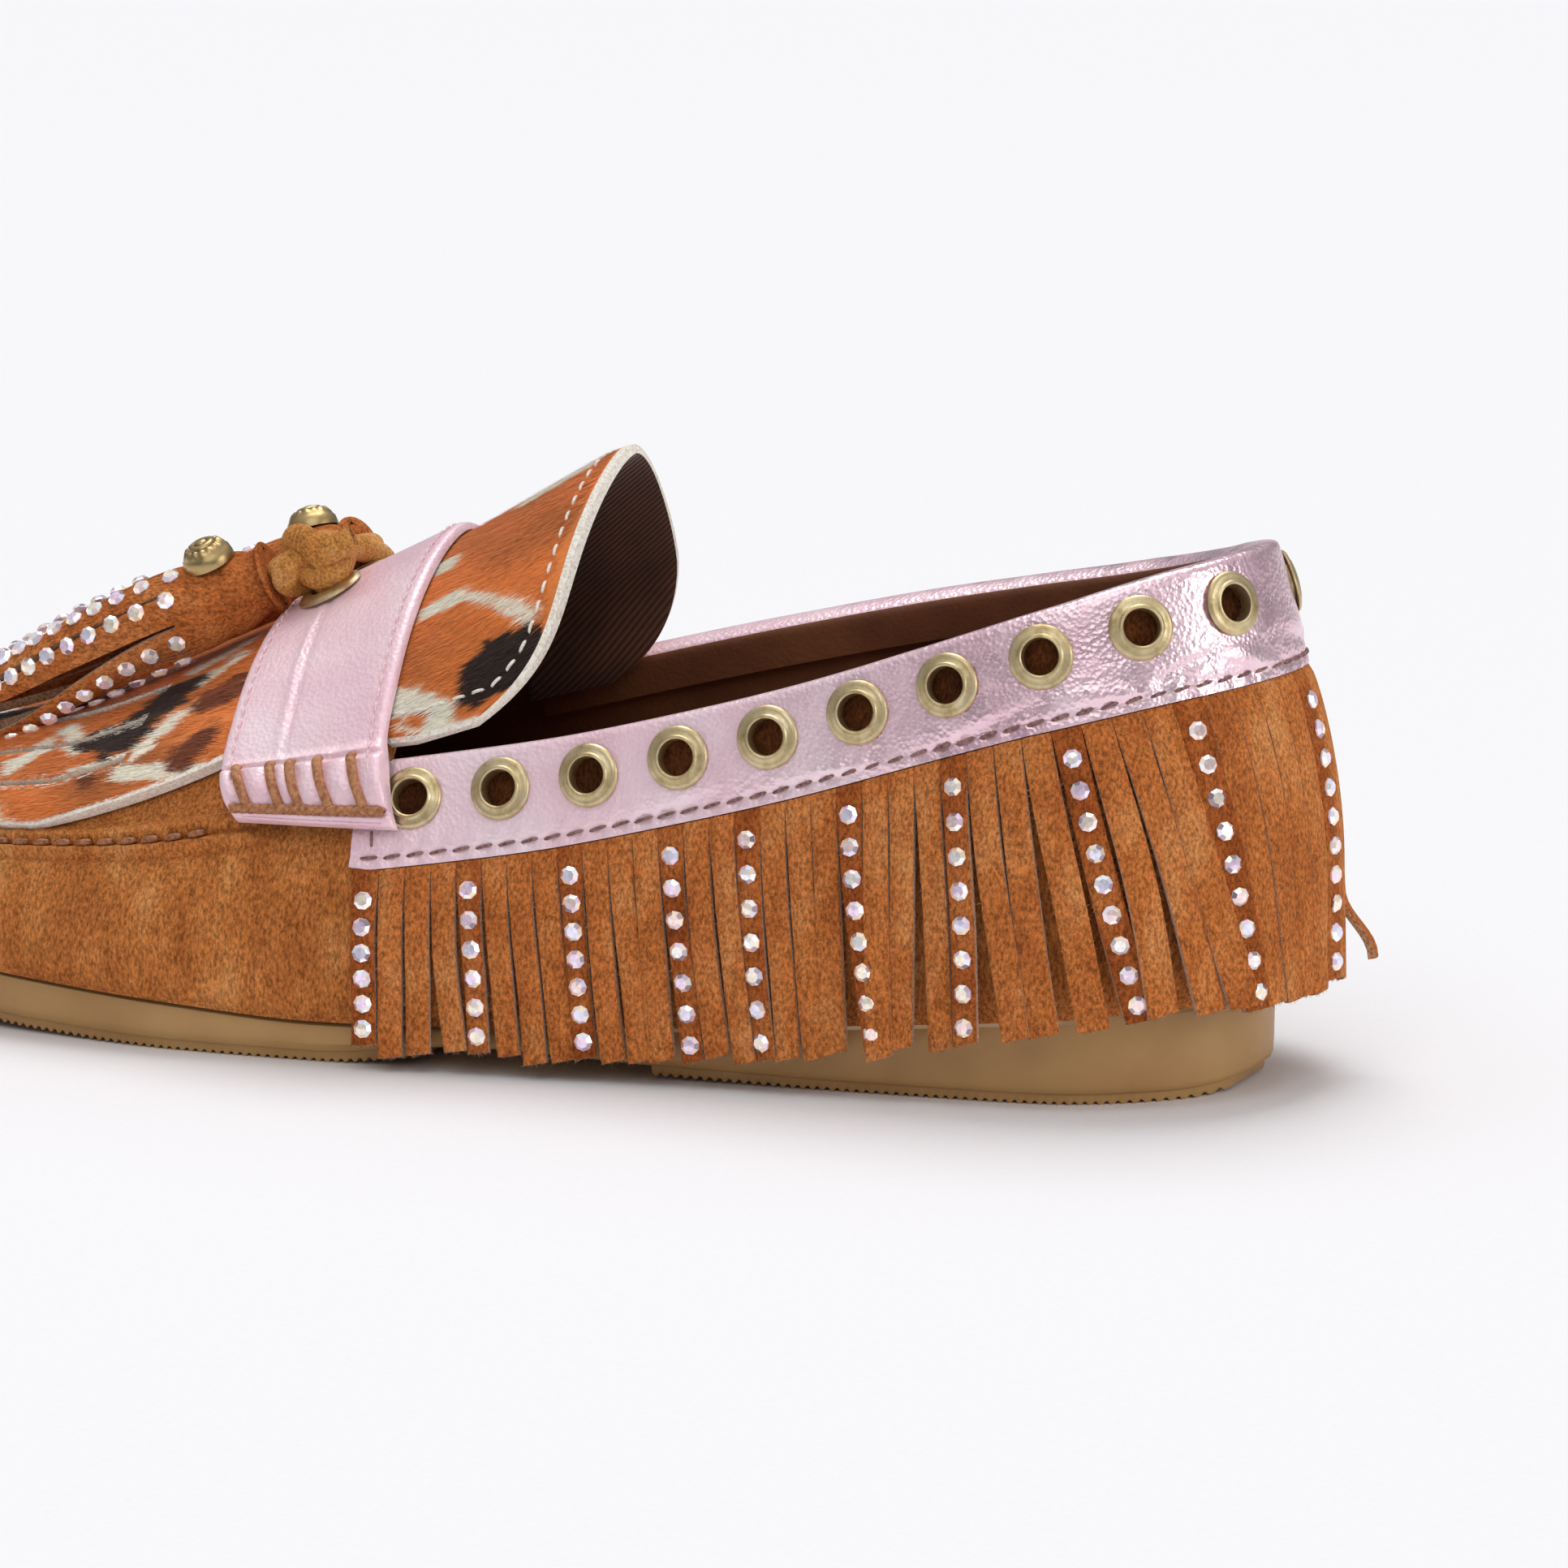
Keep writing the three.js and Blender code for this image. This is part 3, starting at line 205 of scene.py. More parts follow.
# The last by station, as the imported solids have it: at is a share of SOLE_LENGTH from the back of the heel,
# the widths are shares of BALL_WIDTH, edge of HEEL_EDGE, lift of TOE_SPRING and swell of HEEL_SWELL.
LAST = {
    "at": (0, 0.03, 0.1, 0.2, 0.32, 0.44, 0.53, 0.62, 0.72, 0.82, 0.92, 1),
    "lateral": (0, 0.21, 0.332, 0.366, 0.402, 0.452, 0.498, 0.51, 0.482, 0.402, 0.238, -0.061),
    "medial": (0, 0.2, 0.315, 0.328, 0.29, 0.274, 0.317, 0.409, 0.482, 0.47, 0.348, 0.061),
    "edge": (1, 0.985, 0.89, 0.74, 0.57, 0.46, 0.45, 0.53, 0.63, 0.75, 0.92, 1.1),
    "lift": (0.15, 0, 0, 0, 0.06, 0.2, 0, 0, 0.08, 0.28, 0.62, 1),
    "swell": (1, 0.95, 0.75, 0.55, 0.5, 0.35, 0.3, 0.4, 0.42, 0.42, 0.42, 0.42),
    "lean": (1.5, 1.5, 1.35, 1.15, 1.15, 1.25, 1.3, 1.2, 1.05, 1, 0.95, 0.95),
    "seam": (0.32, 0.32, 0.32, 0.32, 0.32, 0.32, 0.32, 0.31, 0.33, 0.36, 0.39, 0.41),
}


def curve_through(xs, ys):
    """Monotone cubic through the points, for arrays."""
    xs, ys = np.asarray(xs, float), np.asarray(ys, float)
    chord = np.diff(ys) / np.diff(xs)
    product = chord[:-1] * chord[1:]
    total = chord[:-1] + chord[1:]
    inner = np.where(product > 0, 2 * product / np.where(product > 0, total, 1), 0)
    slope = np.concatenate([chord[:1], inner, chord[-1:]])

    def at(x):
        inside = np.clip(x, xs[0], xs[-1])
        k = np.clip(np.searchsorted(xs, inside) - 1, 0, len(xs) - 2)
        step = xs[k + 1] - xs[k]
        b = (inside - xs[k]) / step
        a = 1 - b
        ends = ys[k] * a * a * (1 + 2 * b) + ys[k + 1] * b * b * (1 + 2 * a)
        return ends + slope[k] * step * a * a * b - slope[k + 1] * step * b * b * a

    return at


def angle_of(share):
    return np.arccos(1 - 2 * np.asarray(share, float)) / np.pi


def share_of(angle):
    return (1 - np.cos(np.pi * angle)) / 2


def last_curve(key, size):
    return curve_through(angle_of(LAST["at"]), np.array(LAST[key]) * size)


lateral = last_curve("lateral", BALL_WIDTH)
medial = last_curve("medial", BALL_WIDTH)
edge_height = last_curve("edge", HEEL_EDGE)
lift = last_curve("lift", TOE_SPRING)


def turned(place):
    """A place round the last from 0 to 2: 0 at the heel, 0 to 1 the outer side, 1 the toe, 1 to 2 the inner
    side."""
    return np.mod(place, 2)


def angle_at(place):
    return np.where(turned(place) <= 1, turned(place), 2 - turned(place))


def stack(*parts):
    return np.stack(np.broadcast_arrays(*parts), -1)


def unit(vectors):
    return vectors / np.maximum(np.linalg.norm(vectors, axis=-1, keepdims=True), 1e-9)


def feather(place):
    """Where the upper meets the sole, in plan."""
    angle = angle_at(place)
    y = np.where(turned(place) <= 1, lateral(angle), -medial(angle))
    return stack(share_of(angle) * SOLE_LENGTH - HEEL_REST, y)


def outwards(place):
    along = feather(place + 1e-3) - feather(place - 1e-3)
    return unit(stack(-along[..., 1], along[..., 0]))


def wound(points, faces):
    """The faces of a closed mesh, turned to point out."""
    a, b, c = (points[faces[:, k]] for k in (0, 1, 2))
    d = points[faces[:, 3]]
    volume = (a * np.cross(b, c)).sum() + (a * np.cross(c, d)).sum()
    return faces if volume > 0 else faces[:, ::-1]


def mesh_of(name, points, faces, materials, kinds=None, sharp=40):
    """A mesh in metres from millimetre points and quads. Quads that repeat a corner are triangles."""
    solid = [list(dict.fromkeys(face)) for face in faces.tolist()]
    whole = [k for k, face in enumerate(solid) if len(face) > 2]
    mesh = bpy.data.meshes.new(name)
    mesh.from_pydata((points * MM).tolist(), [], [solid[k] for k in whole])
    for material in materials:
        mesh.materials.append(material)
    if kinds is not None:
        mesh.polygons.foreach_set("material_index", np.asarray(kinds)[whole].astype(np.int32))
    mesh.polygons.foreach_set("use_smooth", np.ones(len(mesh.polygons), bool))
    mesh.update()
    mesh.set_sharp_from_angle(angle=math.radians(sharp))
    return mesh


def loft(rings, capped=True):
    """Points and quads through rings of equal length."""
    count, size = rings.shape[:2]
    k = np.arange(size)
    i = np.arange(count - 1)[:, None] * size
    after = (k + 1) % size
    faces = np.stack([i + k, i + after, i + size + after, i + size + k], -1).reshape(-1, 4)
    if capped:
        fan = np.arange(1, size - 1)
        first = np.stack([0 * fan, fan + 1, fan, fan], -1)
        last = (count - 1) * size + np.stack([0 * fan, fan, fan + 1, fan + 1], -1)
        faces = np.concatenate([faces, first, last])
    points = rings.reshape(-1, 3)
    return points, wound(points, faces)


def joined(parts):
    """Several (points, faces) as one."""
    points, faces, first = [], [], 0
    for part_points, part_faces in parts:
        points.append(part_points)
        faces.append(part_faces + first)
        first += len(part_points)
    return np.concatenate(points), np.concatenate(faces)


def sole_rings(angles, profile, under):
    """Rings across the sole. profile is (inset, share of the way from the edge down to the underside, drop
    in mm)."""
    top = edge_height(angles)
    rings = []
    for place in (angles, 2 - angles):
        side = []
        for inset, share, drop in profile:
            edge = feather(place) - outwards(place) * inset
            side.append(stack(edge[:, 0], edge[:, 1], top + (under - top) * share + drop))
        rings.append(np.stack(side, 1))
    return np.concatenate([rings[0], rings[1][:, ::-1]], 1)


gum_rubber, tree, place = new_material("gum_rubber_moulded")
# Crepe-coloured rubber straight from the mould: waxy, a little cloudy, with fine pits
cloud = add(tree, "TexNoise", {"Scale": 60.0, "Detail": 4.0}, {"Vector": place})
pits = add(tree, "TexNoise", {"Scale": 2600.0, "Detail": 3.0}, {"Vector": place})
tone = add(tree, "ValToRGB", {"stops": [(0.3, linear("#aa7f4c")), (0.7, linear("#bd945c"))]}, {"Fac": cloud})
skin_bump = add(tree, "Bump", {"Strength": 0.25, "Distance": 0.1 * MM}, {"Height": pits})
rubber = {
    "Roughness": 0.48, "IOR": 1.52, "Specular IOR Level": 0.4, "Coat Weight": 0.08, "Coat Roughness": 0.4
}
close_material(tree, add(tree, "BsdfPrincipled", rubber, {"Base Color": tone, "Normal": skin_bump}))

side_wall = (
    (SOLE_INSET + 0.5, 0, 0), (SOLE_INSET, 0, -0.4), (SOLE_INSET - 0.15, 0.3, 0), (SOLE_INSET - 0.1, 0.7, 0),
    (SOLE_INSET, 1, 1.2), (SOLE_INSET + 0.35, 1, 0.4), (SOLE_INSET + 1.0, 1, 0),
)
body_angles = np.linspace(0, 1, 201)
body = loft(sole_rings(body_angles, side_wall, lift(body_angles) + TREAD), capped=False)


def tread(span):
    """A tread under the unit, scored across at every RIB_PITCH."""
    shares = np.arange(span[0], span[1], RIB_PITCH / 4 / SOLE_LENGTH)
    angles = angle_of(shares)
    groove = np.where(np.arange(len(shares)) % 4 < 2, 0, RIB_DEPTH)
    inset = SOLE_INSET + TREAD_INSET
    under = lift(angles) + groove
    rings = sole_rings(angles, ((inset, 1, TREAD + 0.6), (inset, 1, 0.5), (inset + 0.2, 1, 0)), under)
    return loft(rings)


sole_points, sole_faces = joined([body, tread(HEEL_TREAD), tread(FOREFOOT_TREAD)])
sole_mesh = mesh_of("sole_unit", sole_points, sole_faces, [gum_rubber])
link_piece("sole_unit", sole_mesh, ["outsole"])

# Upper. Suede over the whole side wall and the apron, one skin with its lining. The apron is let in with a
# hand-sewn plug seam: the wall rises in a roll, the apron's edge is puffed, and the stitches lie in the
# valley between them.
UPPER_WALL = 2.2
THROAT_AT = 0.495
THROAT_HEIGHT = 41
BACK_HEIGHT = 73.5
INSTEP_HEIGHT = 67
SEAM_RISE = 1.3
STRAP_FRONT = 0.578
RIDGE = {
    "at": (0.12, 0.3, 0.415, 0.51, 0.61, 0.7, 0.78, 0.85),
    "height": (1.72, 1.4, 1.19, 1, 0.83, 0.69, 0.585, 0.5),
    "side": (0, 0, -0.02, -0.03, -0.035, -0.04, -0.05, -0.06),
}
TOPLINE = {
    "at": (0, 0.1, 0.2, 0.35, 0.5, 0.65, 0.8, 1),
    "lateral": (1, 0.9, 0.775, 0.595, 0.42, 0.27, 0.137, 0),
    "medial": (1, 0.89, 0.8, 0.705, 0.605, 0.49, 0.36, 0.17),
    "band": (1.12, 1.09, 1.04, 1, 0.98, 0.97, 0.98, 1),
}
swell = last_curve("swell", HEEL_SWELL)
lean = last_curve("lean", 1)
seam_turn = last_curve("seam", 1)


def table_curve(table, key, reach, size):
    return curve_through(np.array(table["at"]) * reach, np.array(table[key]) * size)


ridge_height = table_curve(RIDGE, "height", SOLE_LENGTH, INSTEP_HEIGHT)
ridge_side = table_curve(RIDGE, "side", SOLE_LENGTH, BALL_WIDTH)
quarter_length = THROAT_AT * SOLE_LENGTH
lateral_rise = table_curve(TOPLINE, "lateral", quarter_length, BACK_HEIGHT - THROAT_HEIGHT)
medial_rise = table_curve(TOPLINE, "medial", quarter_length, BACK_HEIGHT - THROAT_HEIGHT)
throat_angle = float(angle_of(THROAT_AT))
strap_front_angle = float(angle_of(STRAP_FRONT))


def smooth(share):
    inside = np.clip(share, 0, 1)
    return inside * inside * (3 - 2 * inside)


def along_last(place):
    return share_of(angle_at(place)) * SOLE_LENGTH


def ridge_point(angle):
    """Near both ends the ribs fan out from the ridge, which is shorter than the sole."""
    fan = 0.12 * smooth((0.4 - angle) / 0.4) - 0.16 * smooth((angle - 0.6) / 0.4)
    x = (share_of(angle) + fan) * SOLE_LENGTH
    return stack(x - HEEL_REST, ridge_side(x), ridge_height(x))


def rib_point(place, turn):
    """A point of the outer face: turn runs from 0 at the sole to 1 at the ridge."""
    angle = angle_at(place)
    ridge = ridge_point(angle)
    quarter = np.pi / 2 * turn
    inwards = 1 - np.maximum(np.cos(quarter), 0) ** lean(angle)
    stand_out = swell(angle) * np.sin(np.pi * np.sqrt(np.maximum(turn, 0)))
    foot = feather(place)
    base = edge_height(angle) + GAP
    bend = outwards(place)
    x = foot[..., 0] + (ridge[..., 0] - foot[..., 0]) * inwards + bend[..., 0] * stand_out
    y = foot[..., 1] + (ridge[..., 1] - foot[..., 1]) * inwards + bend[..., 1] * stand_out
    return stack(x, y, base + (ridge[..., 2] - base) * np.sin(quarter))


def rib_normal(place, turn):
    step = 1e-3
    around = rib_point(place + step, turn) - rib_point(place - step, turn)
    up = rib_point(place, turn + step / 2) - rib_point(place, np.maximum(turn - step / 2, 0))
    slope = ridge_point(angle_at(place) + step) - ridge_point(angle_at(place) - step)
    crest = unit(stack(-slope[..., 2], 0 * slope[..., 0], slope[..., 0]))
    side = unit(-np.cross(around, up))
    near_crest = np.broadcast_to(np.asarray(turn) > 1 - step, side.shape[:-1])[..., None]
    return np.where(near_crest, crest, side)


def on_rib(place, turn, offset):
    return rib_point(place, turn) + rib_normal(place, turn) * np.asarray(offset)[..., None]


def turn_at_height(place, height):
    base = edge_height(angle_at(place)) + GAP
    rise = (height - base) / (ridge_point(angle_at(place))[..., 2] - base)
    return np.arcsin(np.clip(rise, 0, 1)) * 2 / np.pi


def topline_height(place):
    along = along_last(place)
    return THROAT_HEIGHT + np.where(turned(place) <= 1, lateral_rise(along), medial_rise(along))


def wall_turn(place):
    """The top of the side wall: the topline of the open quarters, eased under the strap into the apron
    seam."""
    angle = angle_at(place)
    passed = smooth((angle - throat_angle) / 0.03)
    return turn_at_height(place, topline_height(place)) * (1 - passed) + seam_turn(angle) * passed


def skin(face, back, keep=None, round_skin=False, open_top=False):
    """A closed skin over a grid of cells: its face, its back, and a rim where a kept cell has no neighbour.
    Returns points, quads and a kind for each quad: 0 face, 1 back, 2 rim."""
    size, stride = face.shape[:2]
    columns = size if round_skin else size - 1
    if keep is None:
        keep = np.ones((columns, stride - 1), bool)
    i, j = np.nonzero(keep)
    ahead = (i + 1) % size
    a, b, c, d = i * stride + j, ahead * stride + j, ahead * stride + j + 1, i * stride + j + 1
    under = size * stride
    padded = np.pad(keep, 1)
    if round_skin:
        padded[0, 1:-1], padded[-1, 1:-1] = keep[-1], keep[0]
    quads = [np.stack([a, b, c, d], -1), np.stack([d, c, b, a], -1) + under]
    rims = (((0, -1), a, b), ((1, 0), b, c), ((0, 1), c, d), ((-1, 0), d, a))
    for (di, dj), start, end in rims:
        bare = ~padded[i + 1 + di, j + 1 + dj]
        if open_top and dj == 1:
            bare &= j < stride - 2
        quads.append(np.stack([start + under, end + under, end, start], -1)[bare])
    kinds = np.concatenate([np.full(len(q), min(k, 2)) for k, q in enumerate(quads)])
    points = np.concatenate([face.reshape(-1, 3), back.reshape(-1, 3)])
    used, faces = np.unique(np.concatenate(quads), return_inverse=True)
    points, faces = points[used], faces.reshape(-1, 4)
    return points, wound(points, faces), kinds


def merged(points, faces):
    """The same mesh with coincident points made one."""
    _, first, index = np.unique(np.round(points, 3), axis=0, return_index=True, return_inverse=True)
    return points[first], index.reshape(-1)[faces]


def suede_material(name, dark, middle, light, nap=(1.0, 1.0, 0.45)):
    """Split cowhide brushed to a nap: blotches where the nap lies differently, and short fibres."""
    material, tree, place = new_material(name)
    stretched = add(tree, "Mapping", {"Scale": nap}, {"Vector": place})
    blotch = add(tree, "TexNoise", {"Scale": 130.0, "Detail": 5.0, "Roughness": 0.6}, {"Vector": stretched})
    fibre = add(tree, "TexNoise", {"Scale": 2300.0, "Detail": 3.0, "Roughness": 0.7}, {"Vector": stretched})
    stops = [(0.3, linear(dark)), (0.5, linear(middle)), (0.7, linear(light))]
    ground = add(tree, "ValToRGB", {"stops": stops}, {"Fac": blotch})
    flecks = add(
        tree, "ValToRGB", {"stops": [(0.35, linear("#787878")), (0.65, linear("#ffffff"))]}, {"Fac": fibre}
    )
    mixed = add(tree, "Mix", {"data_type": "RGBA", "blend_type": "OVERLAY", 0: 0.7}, {6: ground, 7: flecks})
    height = add(tree, "Math", {"operation": "ADD"}, {0: fibre, 1: blotch})
    nap_bump = add(tree, "Bump", {"Strength": 0.95, "Distance": 0.5 * MM}, {"Height": height})
    look = {"Roughness": 0.95, "Specular IOR Level": 0.15, "Sheen Weight": 0.35, "Sheen Roughness": 0.45}
    look["Sheen Tint"] = linear(light)
    close_material(
        tree, add(tree, "BsdfPrincipled", look, {"Base Color": mixed.outputs[2], "Normal": nap_bump})
    )
    return material


brown_suede = suede_material("brown_suede", "#9c5829", "#b46d36", "#c6854c")

lining_leather, tree, place = new_material("lining_leather")
pores = add(tree, "TexVoronoi", {"Scale": 1500.0}, {"Vector": place})
wear = add(tree, "TexNoise", {"Scale": 70.0, "Detail": 4.0}, {"Vector": place})
tone = add(tree, "ValToRGB", {"stops": [(0.3, linear("#6b3a20")), (0.7, linear("#8a5432"))]}, {"Fac": wear})
pore_bump = add(tree, "Bump", {"Strength": 0.3, "Distance": 0.15 * MM}, {"Height": pores})
close_material(
    tree, add(tree, "BsdfPrincipled", {"Roughness": 0.6}, {"Base Color": tone, "Normal": pore_bump})
)

waxed_thread, tree, place = new_material("waxed_thread")
twist = add(tree, "TexNoise", {"Scale": 1800.0, "Detail": 2.0}, {"Vector": place})
tone = add(
    tree, "ValToRGB", {"stops": [(0.35, linear("#7d4827")), (0.65, linear("#b0744a"))]}, {"Fac": twist}
)
twist_bump = add(tree, "Bump", {"Strength": 0.6, "Distance": 0.15 * MM}, {"Height": twist})
close_material(
    tree, add(tree, "BsdfPrincipled", {"Roughness": 0.55}, {"Base Color": tone, "Normal": twist_bump})
)

UPPER_COLUMNS = 480
SEAM_STITCH = 3.7
seam_width = 0.017  # as a share of a rib's turn
SEAM_ABOVE = 0.016  # how far over the top of the wall the seam lies, as such a share

upper_places = np.arange(UPPER_COLUMNS) * 2 / UPPER_COLUMNS
wall_top = wall_turn(upper_places)
wall_steps = np.concatenate([np.linspace(0, 0.86, 20), np.linspace(0.88, 1, 15)])
apron_steps = np.concatenate([np.linspace(0.012, 0.16, 13), np.linspace(0.2, 1, 18)])
upper_turns = np.concatenate(
    [wall_top[:, None] * wall_steps, wall_top[:, None] + (1 - wall_top[:, None]) * apron_steps], 1
)
closed = smooth((angle_at(upper_places) - strap_front_angle + 0.01) / 0.02)
from_seam = (upper_turns - wall_top[:, None] - SEAM_ABOVE) / seam_width
seam_steps = np.linalg.norm(np.diff(rib_point(upper_places, wall_top), axis=0), axis=1)
seam_run = np.concatenate([[0], np.cumsum(seam_steps)])
gather = 1 + 0.22 * np.cos(2 * np.pi * seam_run / SEAM_STITCH)
# A roll of the side wall, the valley of the stitches, the puffed edge of the apron, and the crease under
# the roll
wall_roll = 0.9 * SEAM_RISE * np.exp(-(((from_seam + 1.25) / 0.6) ** 2))
apron_roll = 1.05 * SEAM_RISE * np.exp(-(((from_seam - 0.75) / 0.95) ** 2)) * gather[:, None]
valley = -0.45 * np.exp(-(((from_seam + 0.45) / 0.35) ** 2)) * gather[:, None]
crease = -0.45 * np.exp(-(((from_seam + 2.25) / 0.4) ** 2))
relief = closed[:, None] * (wall_roll + apron_roll + valley + crease)
upper_face = on_rib(upper_places[:, None], upper_turns, relief)
upper_back = on_rib(upper_places[:, None], upper_turns, np.full(upper_turns.shape, -UPPER_WALL))
vamp = angle_at(upper_places) >= throat_angle - 1e-9
vamp_cells = vamp & np.roll(vamp, -1)
upper_keep = np.ones((UPPER_COLUMNS, upper_turns.shape[1] - 1), bool)
upper_keep[:, len(wall_steps) - 1 :] = vamp_cells[:, None]
points, faces, kinds = skin(upper_face, upper_back, upper_keep, round_skin=True, open_top=True)
points, faces = merged(points, faces)
upper_mesh = mesh_of("upper_wall", points, faces, [brown_suede, lining_leather, brown_suede], kinds)
link_piece("upper_wall", upper_mesh, ["upper"])


def tubes(paths, radii, sides, normals, flat=1.0):
    """Tubes along paths of millimetre points, with radii for their rings, squashed by flat along their
    normals."""
    paths = np.asarray(paths, float)
    ahead = unit(np.gradient(paths, axis=1))
    normals = np.broadcast_to(normals if np.ndim(normals) == 3 else np.asarray(normals)[:, None], paths.shape)
    across = unit(np.cross(ahead, normals))
    up = np.cross(across, ahead)
    phi = 2 * np.pi * np.arange(sides) / sides
    reach = np.broadcast_to(radii, paths.shape[:2])[..., None, None]
    ring = np.cos(phi)[:, None] * across[:, :, None] + flat * np.sin(phi)[:, None] * up[:, :, None]
    points = (paths[:, :, None] + reach * ring).reshape(-1, 3)
    count, length = paths.shape[:2]
    k = np.arange(sides)
    first = (np.arange(count)[:, None] * length + np.arange(length - 1)) * sides
    first = first.reshape(-1, 1)
    after = (k + 1) % sides
    faces = np.stack([first + k, first + after, first + sides + after, first + sides + k], -1).reshape(-1, 4)
    return points, faces


def stitches(run, normals, pitch, length, radius, lift=0.0, slant=0.0, bow=0.35):
    """Thread stitches along a run of points: each a short tube that dives into the work at both ends."""
    gone = np.concatenate([[0], np.cumsum(np.linalg.norm(np.diff(run, axis=0), axis=1))])
    starts = np.arange(pitch * 0.4, gone[-1] - length, pitch)
    share = np.linspace(0, 1, 7)
    at = starts[:, None] + length * share
    middle = np.stack([np.interp(at, gone, run[:, k]) for k in range(3)], -1)
    up = unit(np.stack([np.interp(at, gone, normals[:, k]) for k in range(3)], -1))
    along = unit(np.gradient(middle, axis=1))
    across = np.cross(up, along)
    rise = lift + radius * (bow * np.sin(np.pi * share) * 2 - 0.9 * np.cos(np.pi * share) ** 8)
    path = middle + up * rise[:, None] + across * (slant * (share - 0.5))[:, None]
    thick = radius * np.sqrt(np.clip(1 - (2 * share - 1) ** 6, 0.02, 1))
    return tubes(path, thick, 8, up)


def offset_course(places, turns, offset):
    """A run of points beside the seam and its normals."""
    return on_rib(places, turns, np.full(places.shape, offset)), rib_normal(places, turns)


seam_places = np.linspace(strap_front_angle + 0.012, 2 - strap_front_angle - 0.012, 500)
run, normals = offset_course(seam_places, wall_turn(seam_places) + SEAM_ABOVE - 0.45 * seam_width, 0.3)
thread_points, thread_faces = stitches(run, normals, SEAM_STITCH, 2.9, 0.5, lift=0.35, slant=0.35)
link_piece("seam_stitching", mesh_of("seam_stitching", thread_points, thread_faces, [waxed_thread]))

# Insole. A sock of smooth brown leather on a board, lying on the sole inside the wall.
INSOLE_STOCK = 2.6
INSOLE_INSET = 3
INSOLE_ENDS = 0.016

sock_leather, tree, place = new_material("sock_leather")
rub = add(tree, "TexNoise", {"Scale": 45.0, "Detail": 5.0}, {"Vector": place})
pores = add(tree, "TexVoronoi", {"Scale": 1300.0}, {"Vector": place})
tone = add(tree, "ValToRGB", {"stops": [(0.3, linear("#59301a")), (0.7, linear("#77482a"))]}, {"Fac": rub})
pore_bump = add(tree, "Bump", {"Strength": 0.25, "Distance": 0.15 * MM}, {"Height": pores})
close_material(
    tree, add(tree, "BsdfPrincipled", {"Roughness": 0.5}, {"Base Color": tone, "Normal": pore_bump})
)

insole_angles = angle_of(INSOLE_ENDS + (1 - 2 * INSOLE_ENDS) * share_of(np.linspace(0, 1, 121)))
insole_low = edge_height(insole_angles) + GAP
insole_rings = []
for place_side in (insole_angles, 2 - insole_angles):
    edge = feather(place_side)[:, None] - outwards(place_side)[:, None] * np.array([0, 0, 0.5, 6.0])[:, None]
    edge = edge - outwards(place_side)[:, None] * INSOLE_INSET
    rise = insole_low[:, None] + np.array([0, INSOLE_STOCK - 0.5, INSOLE_STOCK, INSOLE_STOCK + 0.1])
    insole_rings.append(np.concatenate([edge, rise[..., None]], -1))
rings = np.concatenate([insole_rings[0], insole_rings[1][:, ::-1]], 1)
points, faces = loft(rings)
link_piece("insole_sock", mesh_of("insole_sock", points, faces, [sock_leather]), ["insole"])

# Collar. A band of pink metallic nappa folded over the topline, its lower edge gathered by a thick twisted
# thread.
COLLAR_STOCK = 1.4
COLLAR_HEIGHT = 14.6
COLLAR_LINING = 5
COLLAR_STOP = 0.8
COLLAR_TAB = 3
EYELET_BORE = 2.5
EYELET_DROP = 5.2
EYELETS_A_SIDE = 10
BACK_EYELET_GAP = 23
EYELET_MARGIN = 5.1
WHIP_PITCH = 3.4
WHIP_RISE = 1.5  # of the thread over the band's lower edge
band_height = table_curve(TOPLINE, "band", quarter_length, COLLAR_HEIGHT)


def down_wall(place, drop, offset):
    """A point a given way down the wall from the topline, standing off the upper's outer face by offset."""
    place, drop, offset = np.broadcast_arrays(np.asarray(place, float), drop, offset)
    top = turn_at_height(place, topline_height(place))
    turns = top[..., None] * np.linspace(1, 0, 41)
    ribs = rib_point(place[..., None], turns)
    steps = np.linalg.norm(np.diff(ribs, axis=-2), axis=-1)
    gone = np.concatenate([np.zeros(place.shape + (1,)), np.cumsum(steps, -1)], -1)
    reached = np.clip(drop, 0, gone[..., -1])
    k = np.clip((gone < reached[..., None]).sum(-1) - 1, 0, 39)[..., None]
    before, after = (np.take_along_axis(gone, k + step, -1)[..., 0] for step in (0, 1))
    share = (reached - before) / np.maximum(after - before, 1e-9)
    turn = top * (1 - (k[..., 0] + share) / 40)
    up = unit(rib_point(place, top) - rib_point(place, top - 0.02))
    above = np.maximum(-drop, 0)[..., None]
    return rib_point(place, turn) + up * above + rib_normal(place, turn) * offset[..., None]


def wall_normal(place, drop):
    return unit(down_wall(place, drop, 1.0) - down_wall(place, drop, 0.0))


def places_along(drop):
    """Places along the wall by their distance from the back of the heel, negative on the inner side."""
    run = np.linspace(-0.62, 0.62, 321)
    level = down_wall(run, drop, 0.0)
    gone = np.concatenate([[0], np.cumsum(np.linalg.norm(np.diff(level, axis=0), axis=1))])
    gone -= np.interp(0, run, gone)
    return (lambda distance: np.interp(distance, gone, run)), (lambda place: np.interp(place, run, gone))


along_top, top_distance = places_along(0.0)
along_eyelets, eyelet_distance = places_along(EYELET_DROP)
eyelet_runs = []
for side in (1, -1):
    end = eyelet_distance(side * throat_angle) - side * EYELET_MARGIN
    eyelet_runs.append(np.linspace(side * BACK_EYELET_GAP / 2, end, EYELETS_A_SIDE))
eyelet_places = along_eyelets(np.concatenate(eyelet_runs))


HEEL_CRUMPLE = 3.0


